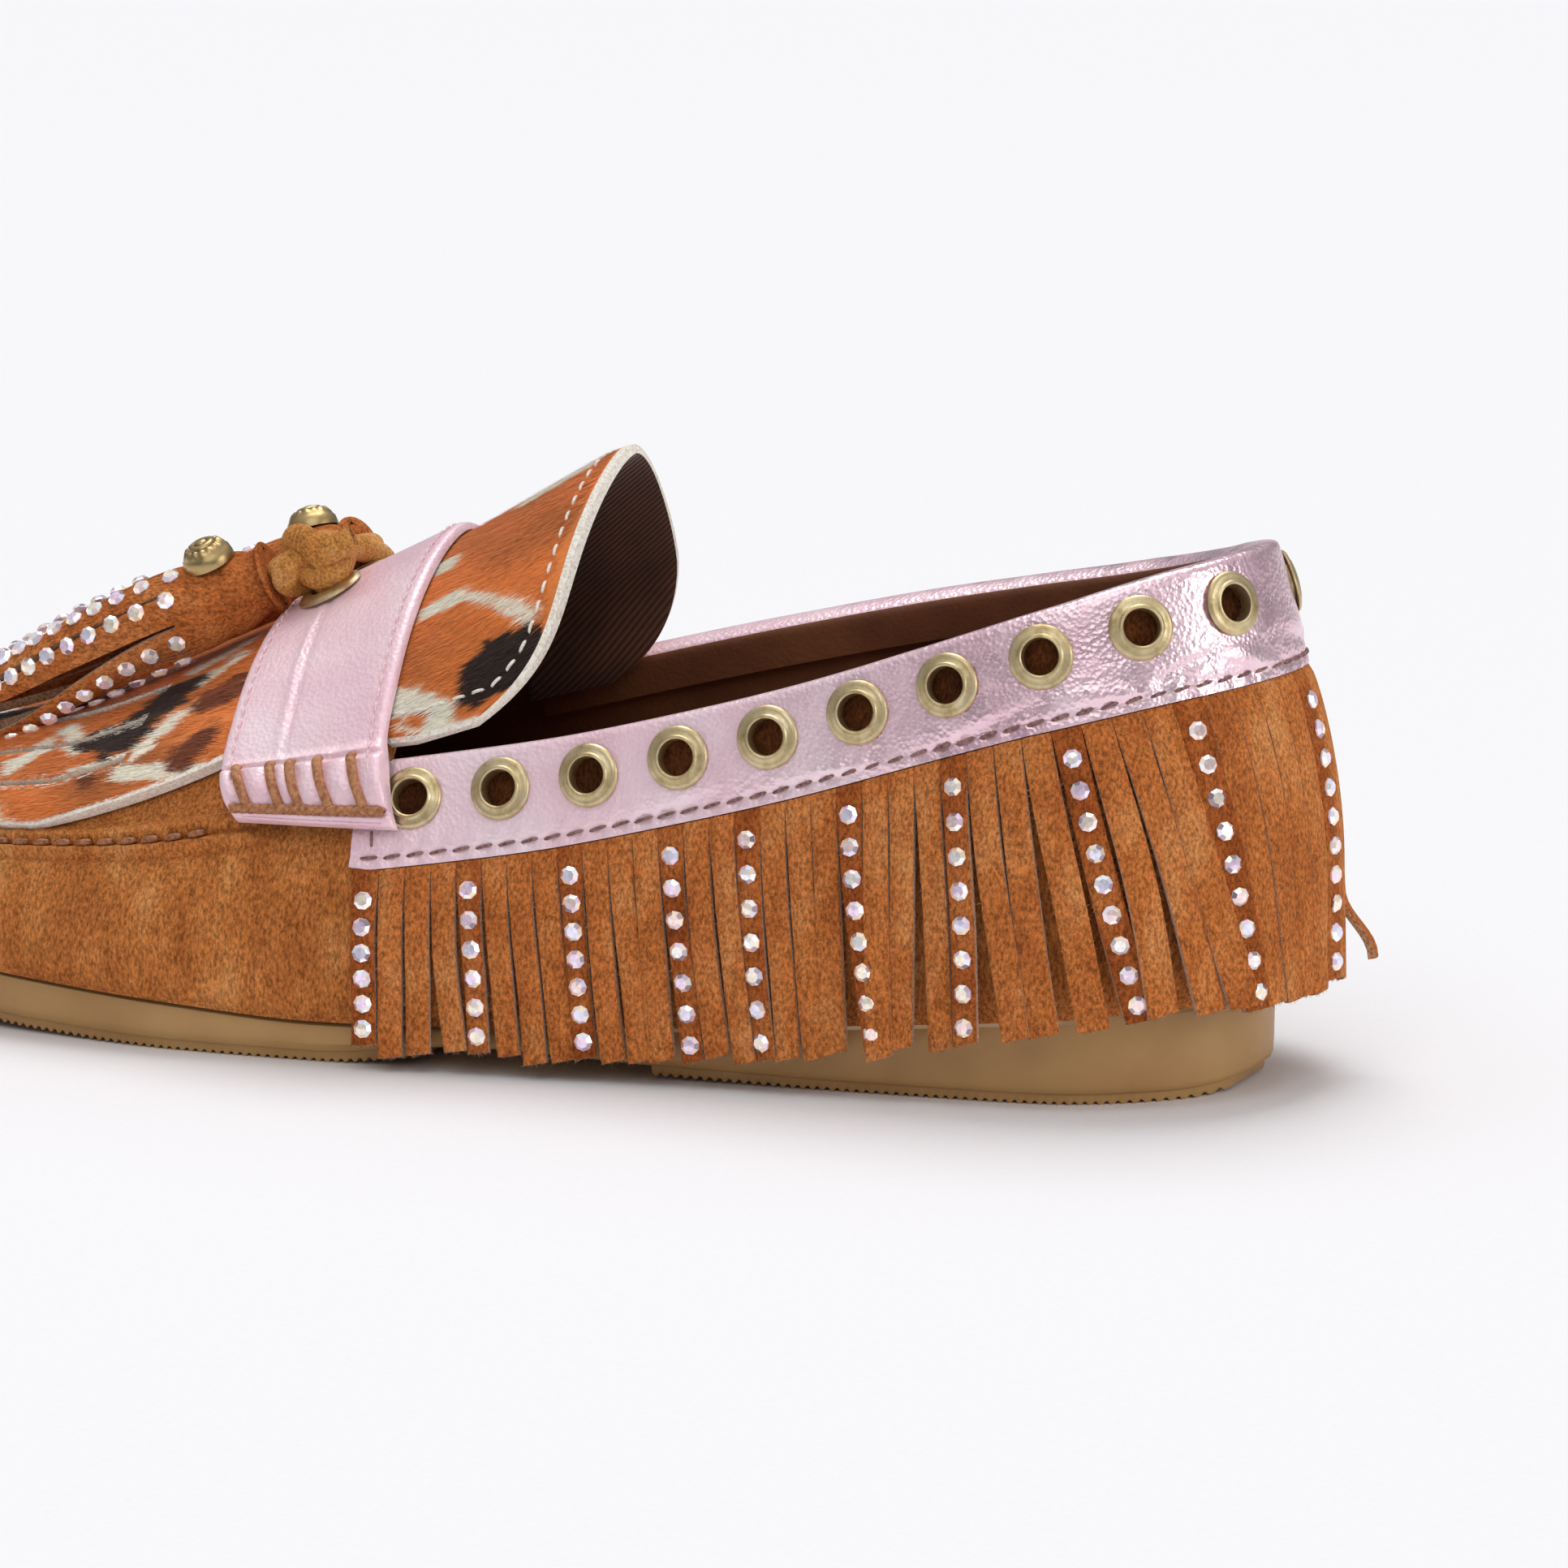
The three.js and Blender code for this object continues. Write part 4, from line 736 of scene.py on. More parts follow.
def nappa_material(name, shine, grain_scale, crumple):
    """Metallic foil on nappa: pink, finely grained, with crumples that catch the light."""
    material, tree, place = new_material(name)
    grain = add(tree, "TexVoronoi", {"Scale": grain_scale, "Randomness": 1.0}, {"Vector": place})
    crumples = {"Scale": 260.0, "Detail": 5.0, "Roughness": 0.62, "Distortion": 0.4}
    folds = add(tree, "TexNoise", crumples, {"Vector": place})
    cloud = add(tree, "TexNoise", {"Scale": 75.0, "Detail": 3.0}, {"Vector": place})
    stops = [(0.3, linear("#f2cad6")), (0.52, linear("#f9d7e0")), (0.72, linear("#fce2e9"))]
    tone = add(tree, "ValToRGB", {"stops": stops}, {"Fac": cloud})
    # Round the heel the foil is stretched over the counter, crumples more and shines more
    side = add(tree, "SeparateXYZ", {}, {"Vector": place})
    stretched = {1: 0.07, 2: 0.0, 3: crumple, 4: crumple * HEEL_CRUMPLE}
    stretch = add(tree, "MapRange", stretched, {0: side.outputs[0]})
    high = add(tree, "Math", {"operation": "MULTIPLY"}, {0: folds, 1: stretch})
    gloss = add(tree, "MapRange", {1: 0.06, 2: 0.0, 3: shine, 4: shine * 0.6}, {0: side.outputs[0]})
    rough = add(tree, "MapRange", {1: 0.3, 2: 0.7, 4: shine + 0.14}, {0: folds, 3: gloss})
    foil = add(tree, "MapRange", {1: 0.05, 2: 0.0, 3: 0.25, 4: 0.8}, {0: side.outputs[0]})
    height = add(tree, "Math", {"operation": "ADD"}, {0: grain, 1: high})
    bump = add(tree, "Bump", {"Strength": 0.45, "Distance": 0.2 * MM}, {"Height": height})
    look = {"Specular IOR Level": 0.5, "Coat Weight": 0.1, "Coat Roughness": 0.3}
    links = {"Base Color": tone, "Roughness": rough, "Normal": bump, "Metallic": foil}
    close_material(tree, add(tree, "BsdfPrincipled", look, links))
    return material


pink_nappa = nappa_material("pink_metallic_nappa", 0.3, 1500.0, 0.5)

COLLAR_COLUMNS = 460
collar_end = float(angle_of(THROAT_AT - COLLAR_STOP / SOLE_LENGTH))
tab_end = float(angle_of(THROAT_AT + COLLAR_TAB / SOLE_LENGTH))
main_places = along_top(np.linspace(top_distance(-collar_end), top_distance(collar_end), COLLAR_COLUMNS - 5))
tab_places = np.linspace(collar_end, tab_end, 4)[1:]
collar_places = np.concatenate([-tab_places[::-1], main_places, tab_places])
collar_band = band_height(along_last(collar_places))
outer_shares = np.concatenate([np.linspace(1, 0.8, 9)[:-1], np.linspace(0.8, 0.04, 22)])
fold = np.linspace(0, np.pi, 12)
half_fold = UPPER_WALL / 2 + GAP + COLLAR_STOCK
fold_drop = -(GAP + 0.8 * COLLAR_STOCK) * np.sin(fold) ** 0.7
fold_offset = half_fold * np.cos(fold) - UPPER_WALL / 2
lining_drop = np.linspace(1, COLLAR_LINING, 5)
run_steps = np.linalg.norm(np.diff(down_wall(collar_places, 14.0, 0.0), axis=0), axis=1)
run_of = np.concatenate([[0], np.cumsum(run_steps)])


def collar_grid(stock):
    """Rows of one of the band's two faces, from its lower edge over the topline to the end of its lining."""
    thick = GAP + stock
    narrow = (UPPER_WALL / 2 + thick) / half_fold
    drops = [collar_band * share for share in outer_shares]
    offsets = [np.full(collar_places.shape, thick) for _ in outer_shares]
    for drop, offset in zip(fold_drop, fold_offset):
        scale = (GAP + 0.8 * stock) / (GAP + 0.8 * COLLAR_STOCK)
        drops.append(np.full(collar_places.shape, drop * scale))
        offsets.append(np.full(collar_places.shape, (offset + UPPER_WALL / 2) * narrow - UPPER_WALL / 2))
    for drop in lining_drop:
        drops.append(np.full(collar_places.shape, drop))
        offsets.append(np.full(collar_places.shape, -UPPER_WALL - thick))
    return np.stack(drops, 1), np.stack(offsets, 1)


# Creases of the band, in millimetres: run from the back of the heel, drop, reach along and down the band,
# slant and height. The heel is the most crumpled, where the band is pulled round the back.
BAND_CREASES = (
    {"run": 2, "drop": 8, "along": 5, "down": 1.0, "slant": 0.35, "rise": 0.5},
    {"run": -4, "drop": 12.5, "along": 6, "down": 1.1, "slant": -0.2, "rise": -0.45},
    {"run": 9, "drop": 13, "along": 5, "down": 1.2, "slant": -0.5, "rise": 0.45},
    {"run": 17, "drop": 11.5, "along": 6, "down": 1.0, "slant": 0.3, "rise": -0.4},
    {"run": 27, "drop": 13, "along": 7, "down": 1.0, "slant": -0.25, "rise": 0.35},
    {"run": -14, "drop": 11, "along": 7, "down": 1.2, "slant": 0.25, "rise": 0.4},
    {"run": 44, "drop": 12.4, "along": 8, "down": 0.9, "slant": 0.15, "rise": -0.3},
    {"run": 62, "drop": 12.6, "along": 8, "down": 0.9, "slant": -0.15, "rise": 0.3},
    {"run": 90, "drop": 12.2, "along": 9, "down": 0.9, "slant": 0.12, "rise": -0.28},
    {"run": -48, "drop": 12.4, "along": 8, "down": 0.9, "slant": 0.15, "rise": 0.3},
    {"run": -92, "drop": 12.2, "along": 9, "down": 0.9, "slant": -0.12, "rise": -0.28},
)
drops, offsets = collar_grid(COLLAR_STOCK)
back_drops, back_offsets = collar_grid(0)
outer_rows = len(outer_shares)
heel_run = top_distance(collar_places)[:, None]
from_edge = collar_band[:, None] - drops
gathers = 0.12 * np.cos(2 * np.pi * run_of[:, None] / WHIP_PITCH) * np.exp(-(((from_edge - 1.6) / 2.2) ** 2))
pinch = -0.18 * np.exp(-(((from_edge - WHIP_RISE) / 0.6) ** 2))
belly = 0.25 * np.sin(np.pi * np.clip(from_edge / collar_band[:, None], 0, 1)) ** 2
creases = 0 * drops
for crease in BAND_CREASES:
    u = heel_run - crease["run"]
    v = drops - crease["drop"] - crease["slant"] * u
    creases += crease["rise"] * np.exp(-((u / crease["along"]) ** 2) - (v / crease["down"]) ** 2)
on_outside = (np.arange(drops.shape[1]) < outer_rows)[None]
near_eyelet = np.exp(-((drops - EYELET_DROP) / 4.6) ** 4)
offsets = offsets + on_outside * (gathers + pinch + (belly + creases) * (1 - near_eyelet))
collar_face = down_wall(collar_places[:, None], drops, offsets)
collar_back = down_wall(collar_places[:, None], back_drops, back_offsets)
cell_middle = (collar_face[:-1, :-1] + collar_face[1:, 1:]) / 2
keep = np.ones(cell_middle.shape[:2], bool)
keep[:3, outer_rows + 1 :] = False
keep[-3:, outer_rows + 1 :] = False
seat_points = down_wall(eyelet_places, EYELET_DROP, GAP + COLLAR_STOCK)
for seat_point in seat_points:
    keep &= np.linalg.norm(cell_middle - seat_point, axis=-1) > EYELET_BORE + 0.75
points, faces, kinds = skin(collar_face, collar_back, keep)
kinds[: keep.sum()][np.nonzero(keep)[1] > outer_rows + 8] = 1
collar_mesh = mesh_of("collar_band", points, faces, [pink_nappa, lining_leather, pink_nappa], kinds, sharp=50)
link_piece("collar_band", collar_mesh, ["collar"])

edge_drop = collar_band - WHIP_RISE
whip_run = down_wall(collar_places, edge_drop, GAP + COLLAR_STOCK - 0.05)
whip_normal = wall_normal(collar_places, edge_drop)
band_thread, tree, place = new_material("mauve_band_thread")
twist = add(tree, "TexNoise", {"Scale": 1800.0, "Detail": 2.0}, {"Vector": place})
tone = add(
    tree, "ValToRGB", {"stops": [(0.35, linear("#5f3a33")), (0.65, linear("#97706a"))]}, {"Fac": twist}
)
close_material(tree, add(tree, "BsdfPrincipled", {"Roughness": 0.55}, {"Base Color": tone}))
whip = [stitches(whip_run, whip_normal, WHIP_PITCH, 2.9, 0.24, slant=0.35, bow=0.4)]
for end in (0, -1):
    # The same thread climbs the front end of the band
    rise = np.linspace(WHIP_RISE, 13, 40)
    place_end = np.full(rise.shape, collar_places[end] * 0.985)
    climb_drop = collar_band[end] - rise
    climb = down_wall(place_end, climb_drop, GAP + COLLAR_STOCK - 0.05)
    whip.append(
        stitches(climb, wall_normal(place_end, climb_drop), WHIP_PITCH, 2.8, 0.24, slant=0.3, bow=0.4)
    )
points, faces = joined(whip)
link_piece("collar_stitching", mesh_of("collar_stitching", points, faces, [band_thread]))

# Eyelets. Ten pressed brass eyelets a side, their flanges domed and their bores open on the suede behind.
antique_brass, tree, place = new_material("antique_brass")
tarnish = add(tree, "TexNoise", {"Scale": 420.0, "Detail": 5.0, "Roughness": 0.65}, {"Vector": place})
scratch = add(tree, "TexNoise", {"Scale": 1900.0, "Detail": 2.0, "Distortion": 1.5}, {"Vector": place})
stops = [(0.25, linear("#a08a60")), (0.5, linear("#cdb98e")), (0.75, linear("#e2d3af"))]
tone = add(tree, "ValToRGB", {"stops": stops}, {"Fac": tarnish})
rough = add(tree, "MapRange", {1: 0.3, 2: 0.7, 3: 0.5, 4: 0.34}, {0: tarnish})
rub_bump = add(tree, "Bump", {"Strength": 0.2, "Distance": 0.1 * MM}, {"Height": scratch})
brass_links = {"Base Color": tone, "Roughness": rough, "Normal": rub_bump}
close_material(tree, add(tree, "BsdfPrincipled", {"Metallic": 0.95}, brass_links))


def turned_rings(profile, seats, axes, sides=56):
    """A turned part at every seat, its axis along the seat's direction."""
    profile = np.array(profile, float)
    phi = 2 * np.pi * np.arange(sides) / sides
    side = unit(np.cross(axes, [0.0, 0.0, 1.0]))
    up = np.cross(side, axes)
    spokes = np.cos(phi)[None, :, None] * side[:, None] + np.sin(phi)[None, :, None] * up[:, None]
    rings = seats[:, None, None] + profile[:, 0][None, None, :, None] * spokes[:, :, None]
    rings = rings + profile[:, 1][None, None, :, None] * axes[:, None, None]
    parts = []
    for ring in rings:
        closed_ring = np.concatenate([ring, ring[:1]])
        points, faces = loft(closed_ring, capped=False)
        parts.append(merged(points, faces))
    return joined(parts)


EYELET_PROFILE = (
    (2.5, -1.2), (2.5, 0.45), (2.58, 0.7), (2.75, 0.82), (2.95, 0.78), (3.1, 0.6), (3.25, 0.5), (3.8, 0.46), (
        4.1, 0.4
    ),
    (4.32, 0.24), (4.43, 0.0), (4.4, -0.08), (4.2, -0.12), (2.75, -0.12), (2.7, -1.2),
)
seats = down_wall(eyelet_places, EYELET_DROP, 2 * GAP + COLLAR_STOCK)
points, faces = turned_rings(EYELET_PROFILE, seats, wall_normal(eyelet_places, EYELET_DROP))
eyelet_nodes = [f"eyelet-{side}-{k}" for side in ("outer", "inner") for k in range(1, EYELETS_A_SIDE + 1)]
link_piece(
    "eyelets", mesh_of("eyelets", points, faces, [antique_brass], sharp=35), eyelet_nodes
)

# Dark suede discs behind each bore: painted shade, standing for the shadow deep inside the bore
painted_shade_suede = suede_material("painted_shade_suede", "#3c1f0e", "#532d15", "#6d3f20")
behind = 0.18 - 2 * GAP - COLLAR_STOCK
spot_profile = ((0.01, behind), (2.62, behind), (2.62, behind - 0.1))
points, faces = turned_rings(spot_profile, seats, wall_normal(eyelet_places, EYELET_DROP))
link_piece("painted_bore_shade", mesh_of("painted_bore_shade", points, faces, [painted_shade_suede]))

# Fringe. A suede skirt sewn in below the collar and cut by hand into strips, which hang over the sole's
# edge. Every third to fifth strip is a darker, narrower one that carries a row of crystals.
STRIP_PITCH = 3.75
STRIPS_A_SIDE = 36
FRINGE_LENGTH = 43
FRINGE_FLARE = 3.4
FRINGE_STOCK = 1.3
STRIP_HEAD = 2.5
BULGE_TURN = 0.1
SET_STRIPS = (0, 5, 9, 13, 17, 21, 24, 28, 32, 36)  # each side, from the back of the heel to the throat
FRINGE = {
    "at": (0, 0.11, 0.22, 0.33, 0.5, 0.67, 0.83, 1),
    "length": (1, 1, 0.97, 0.93, 0.86, 0.77, 0.68, 0.58),
    "flare": (1, 0.94, 0.82, 0.65, 0.47, 0.35, 0.29, 0.24),
    "swing": (0, 0.12, 0.2, 0.1, 0.08, 0.12, 0.12, 0.02),
}
half_skirt = STRIPS_A_SIDE * STRIP_PITCH
skirt_length = table_curve(FRINGE, "length", half_skirt, FRINGE_LENGTH)
skirt_flare = table_curve(FRINGE, "flare", half_skirt, FRINGE_FLARE)
skirt_swing = table_curve(FRINGE, "swing", half_skirt, 1)

fringe_suede = suede_material("fringe_suede", "#9e5628", "#b66a34", "#c8834c", nap=(1.0, 1.0, 0.6))
crystal_suede = suede_material("fringe_suede_dark", "#7f3f19", "#9c5224", "#b26a36", nap=(1.0, 1.0, 0.6))

cut_suede, tree, place = new_material("suede_cut_edge")
# The grey-brown core of the hide, where the knife has opened it and fibres stand out
fibre = add(tree, "TexNoise", {"Scale": 2600.0, "Detail": 3.0}, {"Vector": place})
tone = add(
    tree, "ValToRGB", {"stops": [(0.35, linear("#8a5a38")), (0.65, linear("#c99b74"))]}, {"Fac": fibre}
)
fibre_bump = add(tree, "Bump", {"Strength": 0.8, "Distance": 0.4 * MM}, {"Height": fibre})
cut_look = {"Roughness": 1.0, "Specular IOR Level": 0.1, "Sheen Weight": 0.5}
close_material(tree, add(tree, "BsdfPrincipled", cut_look, {"Base Color": tone, "Normal": fibre_bump}))

cutting = np.random.default_rng(11)
strip_numbers = np.arange(-STRIPS_A_SIDE, STRIPS_A_SIDE + 1)
strip_count = len(strip_numbers)
strip_rows = 34
strip_sway = cutting.normal(0, 0.42, strip_count)
strip_twist = cutting.normal(0, 0.22, strip_count)
strip_trim = cutting.uniform(-0.9, 0.5, strip_count)
strip_taper = cutting.uniform(0.9, 1.0, strip_count)
strip_bulge = cutting.uniform(0.0, 0.35, strip_count)
strip_wave = cutting.uniform(0, 2 * np.pi, strip_count)
with_crystals = np.isin(np.abs(strip_numbers), SET_STRIPS)
strip_taper = np.where(with_crystals, strip_taper * 0.95, strip_taper)
# Strips that hang out of line: sway in millimetres at the free end and lift off the row, by strip number
STRAY = {
    15: (2.6, 0.5),
    16: (1.6, 1.4),
    17: (-1.8, 0.8),
    13: (0.9, 1.0),
    12: (-1.0, 0.6),
    8: (1.2, 0.4),
    6: (-0.9, 0.5),
}
strip_lift = np.zeros(strip_count)
for number, (sway, rise) in STRAY.items():
    strip_sway[number + STRIPS_A_SIDE] = sway
    strip_lift[number + STRIPS_A_SIDE] = rise


def strip_point(index, across, down_share, offset):
    """A point of a strip: across runs from -1 to 1 between its edges, down_share from the collar to the
    free end."""
    middle = strip_numbers[index] * STRIP_PITCH
    reach = np.abs(middle)
    length = skirt_length(reach) + strip_trim[index]
    down = down_share * length
    narrow = 1 - (1 - strip_taper[index]) * smooth((down - STRIP_HEAD) / 6)
    cut = np.where(down > 1.2, 0.06, 0.0)
    half_width = STRIP_PITCH / 2 * narrow - cut
    sway = strip_sway[index] * down_share**2 + 0.25 * np.sin(strip_wave[index] + 5 * down_share) * down_share
    trail = skirt_swing(reach) * down * np.sign(middle)
    place = along_top(middle + across * half_width - trail + sway)
    top = down_wall(place, band_height(along_last(place)) + 0.5 * GAP, offset)
    height = top[..., 2] - down
    wall = on_rib(place, np.maximum(turn_at_height(place, height), BULGE_TURN), offset + 0 * place)
    hang = skirt_flare(reach) * np.sqrt(np.maximum(down_share, 0))
    hang = hang + strip_lift[index] * down_share + strip_twist[index] * across * down_share
    hang = hang + strip_bulge[index] * np.sin(np.pi * down_share) - 0.1 * across**2 * smooth(down / 5)
    out = outwards(place)
    return stack(wall[..., 0] + out[..., 0] * hang, wall[..., 1] + out[..., 1] * hang, height)


across_face = np.array([-1, -0.86, -0.45, 0, 0.45, 0.86, 1])
cell_index, cell_down, cell_across = np.meshgrid(
    np.arange(strip_count), np.linspace(0, 1, strip_rows), across_face, indexing="ij"
)
edge_round = 0.2 * np.abs(cell_across) ** 8
strip_faces = strip_point(cell_index, cell_across, cell_down, GAP + FRINGE_STOCK - edge_round)
strip_backs = strip_point(cell_index, cell_across, cell_down, GAP + edge_round)
strip_rings = np.concatenate([strip_faces, strip_backs[:, :, ::-1]], 2)
# One strip at the back has curled up and shows its end behind the heel
CURLED = {"number": -3, "from": 0.74, "out": 4.5, "up": 2.0}
curl_index = CURLED["number"] + STRIPS_A_SIDE
bend = smooth((np.linspace(0, 1, strip_rows) - CURLED["from"]) / (1 - CURLED["from"]))[:, None]
strip_rings[curl_index, :, :, 0] -= CURLED["out"] * bend
strip_rings[curl_index, :, :, 2] += CURLED["up"] * bend

parts, strip_kinds = [], []
ring_size = strip_rings.shape[2]
face_cells = len(across_face) - 1
for index in range(strip_count):
    points, faces = loft(strip_rings[index])
    kinds = np.full(len(faces), 2)
    around = np.arange((strip_rows - 1) * ring_size) % ring_size
    on_edge = (around == face_cells) | (around == ring_size - 1)
    kinds[: len(around)] = np.where(on_edge, 2, 1 if with_crystals[index] else 0)
    parts.append((points, faces))
    strip_kinds.append(kinds)
points, faces = joined(parts)
fringe_looks = [fringe_suede, crystal_suede, cut_suede]
fringe_mesh = mesh_of("fringe_strips", points, faces, fringe_looks, np.concatenate(strip_kinds), sharp=55)
link_piece("fringe_strips", fringe_mesh, ["fringe"])

# Fuzz: short fibres that stand out of the cut edges and ends of the strips
fuzz_count = 9000  # fewer and thicker than real fibres, which are too fine to draw
fuzz_strip = cutting.integers(0, strip_count, fuzz_count)
fuzz_down = cutting.uniform(0.06, 1.0, fuzz_count)
fuzz_side = cutting.choice([-1.0, 1.0], fuzz_count)
fuzz_end = cutting.random(fuzz_count) < 0.2
fuzz_down = np.where(fuzz_end, 1.0, fuzz_down)
fuzz_side = np.where(fuzz_end, cutting.uniform(-1, 1, fuzz_count), fuzz_side)
keep_fuzz = (fuzz_strip != curl_index)
fuzz_strip, fuzz_down, fuzz_side, fuzz_end = (
    a[keep_fuzz] for a in (fuzz_strip, fuzz_down, fuzz_side, fuzz_end)
)
fuzz_offset = GAP + cutting.uniform(0.2, 1.0, len(fuzz_strip)) * FRINGE_STOCK
root = strip_point(fuzz_strip, fuzz_side, fuzz_down, fuzz_offset)
inside = strip_point(fuzz_strip, fuzz_side * 0.5, fuzz_down * 0.985, fuzz_offset)
reach_out = unit(root - inside) + cutting.normal(0, 0.6, root.shape)
tip = root + unit(reach_out) * cutting.uniform(0.25, 0.8, (len(root), 1))
width = unit(np.cross(tip - root, cutting.normal(0, 1, root.shape))) * 0.05
points = np.stack([root - width, root + width, tip], 1).reshape(-1, 3)
first = np.arange(len(root)) * 3
faces = np.stack([first, first + 1, first + 2, first + 2], -1)
link_piece("fringe_fuzz", mesh_of("fringe_fuzz", points, faces, [cut_suede]))

# Crystals. Faceted flat-backed glass stones with a coloured coating, glued in rows down the darker strips
# and the tassels.
crystal_glass, tree, place = new_material("coated_crystal")
tint = add(tree, "Attribute", {"attribute_name": "tint"}).outputs["Color"]
crystal_look = {"Metallic": 0.55, "Roughness": 0.07, "Coat Weight": 1.0, "Coat Roughness": 0.02, "IOR": 1.9}
# The stones glow faintly in their facets' own tints: painted light that brightens them
crystal_look["Emission Strength"] = 0.2
close_material(
    tree, add(tree, "BsdfPrincipled", crystal_look, {"Base Color": tint, "Emission Color": tint})
)
CRYSTAL_RADIUS = 1.32
CRYSTAL_TINTS = (
    "#fffaf6", "#fadfdc", "#fbeedb", "#e6e2f6", "#eed6ee",
    "#b9a3ae", "#f8e2c4", "#ffffff", "#8f7f8c", "#e6ecee",
)
crystal_rings = ((1.0, 0.0), (1.0, 0.25), (0.62, 0.72))  # share of the radius, and height in mm
stones = np.random.default_rng(5)


def crystals(name, seats, axes, radius=CRYSTAL_RADIUS, sides=8):
    """Stones on their seats, every facet with a tint of its own."""
    count = len(seats)
    spin = stones.uniform(0, 2 * np.pi, count)[:, None] + 2 * np.pi * np.arange(sides) / sides
    axes = unit(axes + stones.normal(0, 0.06, axes.shape))
    side = unit(np.cross(axes, [0.13, 0.21, 0.97]))
    up = np.cross(side, axes)
    spokes = np.cos(spin)[..., None] * side[:, None] + np.sin(spin)[..., None] * up[:, None]
    rings = [
        seats[:, None] + spokes * radius * share + axes[:, None] * height for share, height in crystal_rings
    ]
    corners = np.concatenate(rings + [seats[:, None] + axes[:, None] * (crystal_rings[-1][1] + 0.02)], 1)
    size = corners.shape[1]
    k = np.arange(sides)
    after = (k + 1) % sides
    one = [np.stack([k + row, after + row, after + row + sides, k + row + sides], -1) for row in (0, sides)]
    one.append(np.stack([k + 2 * sides, after + 2 * sides, 0 * k + 3 * sides, 0 * k + 3 * sides], -1))
    one = np.concatenate(one)
    faces = (np.arange(count)[:, None, None] * size + one).reshape(-1, 4)
    mesh = mesh_of(name, corners.reshape(-1, 3), faces, [crystal_glass], sharp=1)
    tints = np.array([linear(colour) for colour in CRYSTAL_TINTS])
    facet = tints[stones.integers(0, len(tints), (count, len(one)))]
    table = tints[stones.integers(0, 5, count)]
    facet[:, 2 * sides :] = table[:, None] * stones.uniform(0.75, 1.0, (count, sides, 1))
    facet[..., 3] = 1
    layer = mesh.color_attributes.new("tint", "FLOAT_COLOR", "CORNER")
    totals = np.empty(len(mesh.polygons), np.int32)
    mesh.polygons.foreach_get("loop_total", totals)
    layer.data.foreach_set("color", np.repeat(facet.reshape(-1, 4), totals, axis=0).ravel())
    return mesh


CRYSTAL_COUNTS = (10, 9, 9, 8, 8, 7, 7, 7, 6, 6)
FIRST_CRYSTAL = 4.0
stone_strips, stone_downs = [], []
for index in np.nonzero(with_crystals)[0]:
    row = CRYSTAL_COUNTS[SET_STRIPS.index(abs(strip_numbers[index]))]
    length = skirt_length(abs(strip_numbers[index]) * STRIP_PITCH) + strip_trim[index]
    stone_strips += [index] * row
    stone_downs += list(np.linspace(FIRST_CRYSTAL, length - 2.4, row) / length)
stone_strips, stone_downs = np.array(stone_strips), np.array(stone_downs)
face_offset = GAP + FRINGE_STOCK
seats = strip_point(stone_strips, 0.0, stone_downs, face_offset)
beside = strip_point(stone_strips, 0.4, stone_downs, face_offset) - seats
below = strip_point(stone_strips, 0.0, stone_downs + 0.01, face_offset) - seats
axes = unit(np.cross(beside, below))
away = seats - stack(100.0 - HEEL_REST, 0 * seats[:, 1], seats[:, 2])
axes = np.where(((axes * away).sum(-1) < 0)[:, None], -axes, axes)
link_piece("fringe_crystals", crystals("fringe_crystals", seats, axes))

# Tongue and kiltie. Haired calf hide in cream, rust and black patches, the hairs lying forward and down.
# The tongue is lined with brown twill and stands up behind the strap; the kiltie lies on the apron, its
# front cut in strips.
LAYER_GAP = 0.5
HAIRED_HIDE = 1.8
HIDE_FACE = LAYER_GAP + HAIRED_HIDE
TONGUE = {"rear": 0.399, "front": 0.545, "corner": 0.043, "under_strap": 0.46, "lowest": 0.4, "clear": 2.6}
KILTIE = {"rear": 0.553, "slits": 0.67, "front": 0.885, "strips": 11, "slit": 0.018}
OVER_SEAM = {"rear": 0.178, "widening": 0.8, "least": 0.045}
HIDE_SHADES = {
    "cream": linear("#fff3dc")[:3],
    "rust": linear("#e2813c")[:3],
    "dark_rust": linear("#7c3c1c")[:3],
    "black": linear("#32211a")[:3],
}
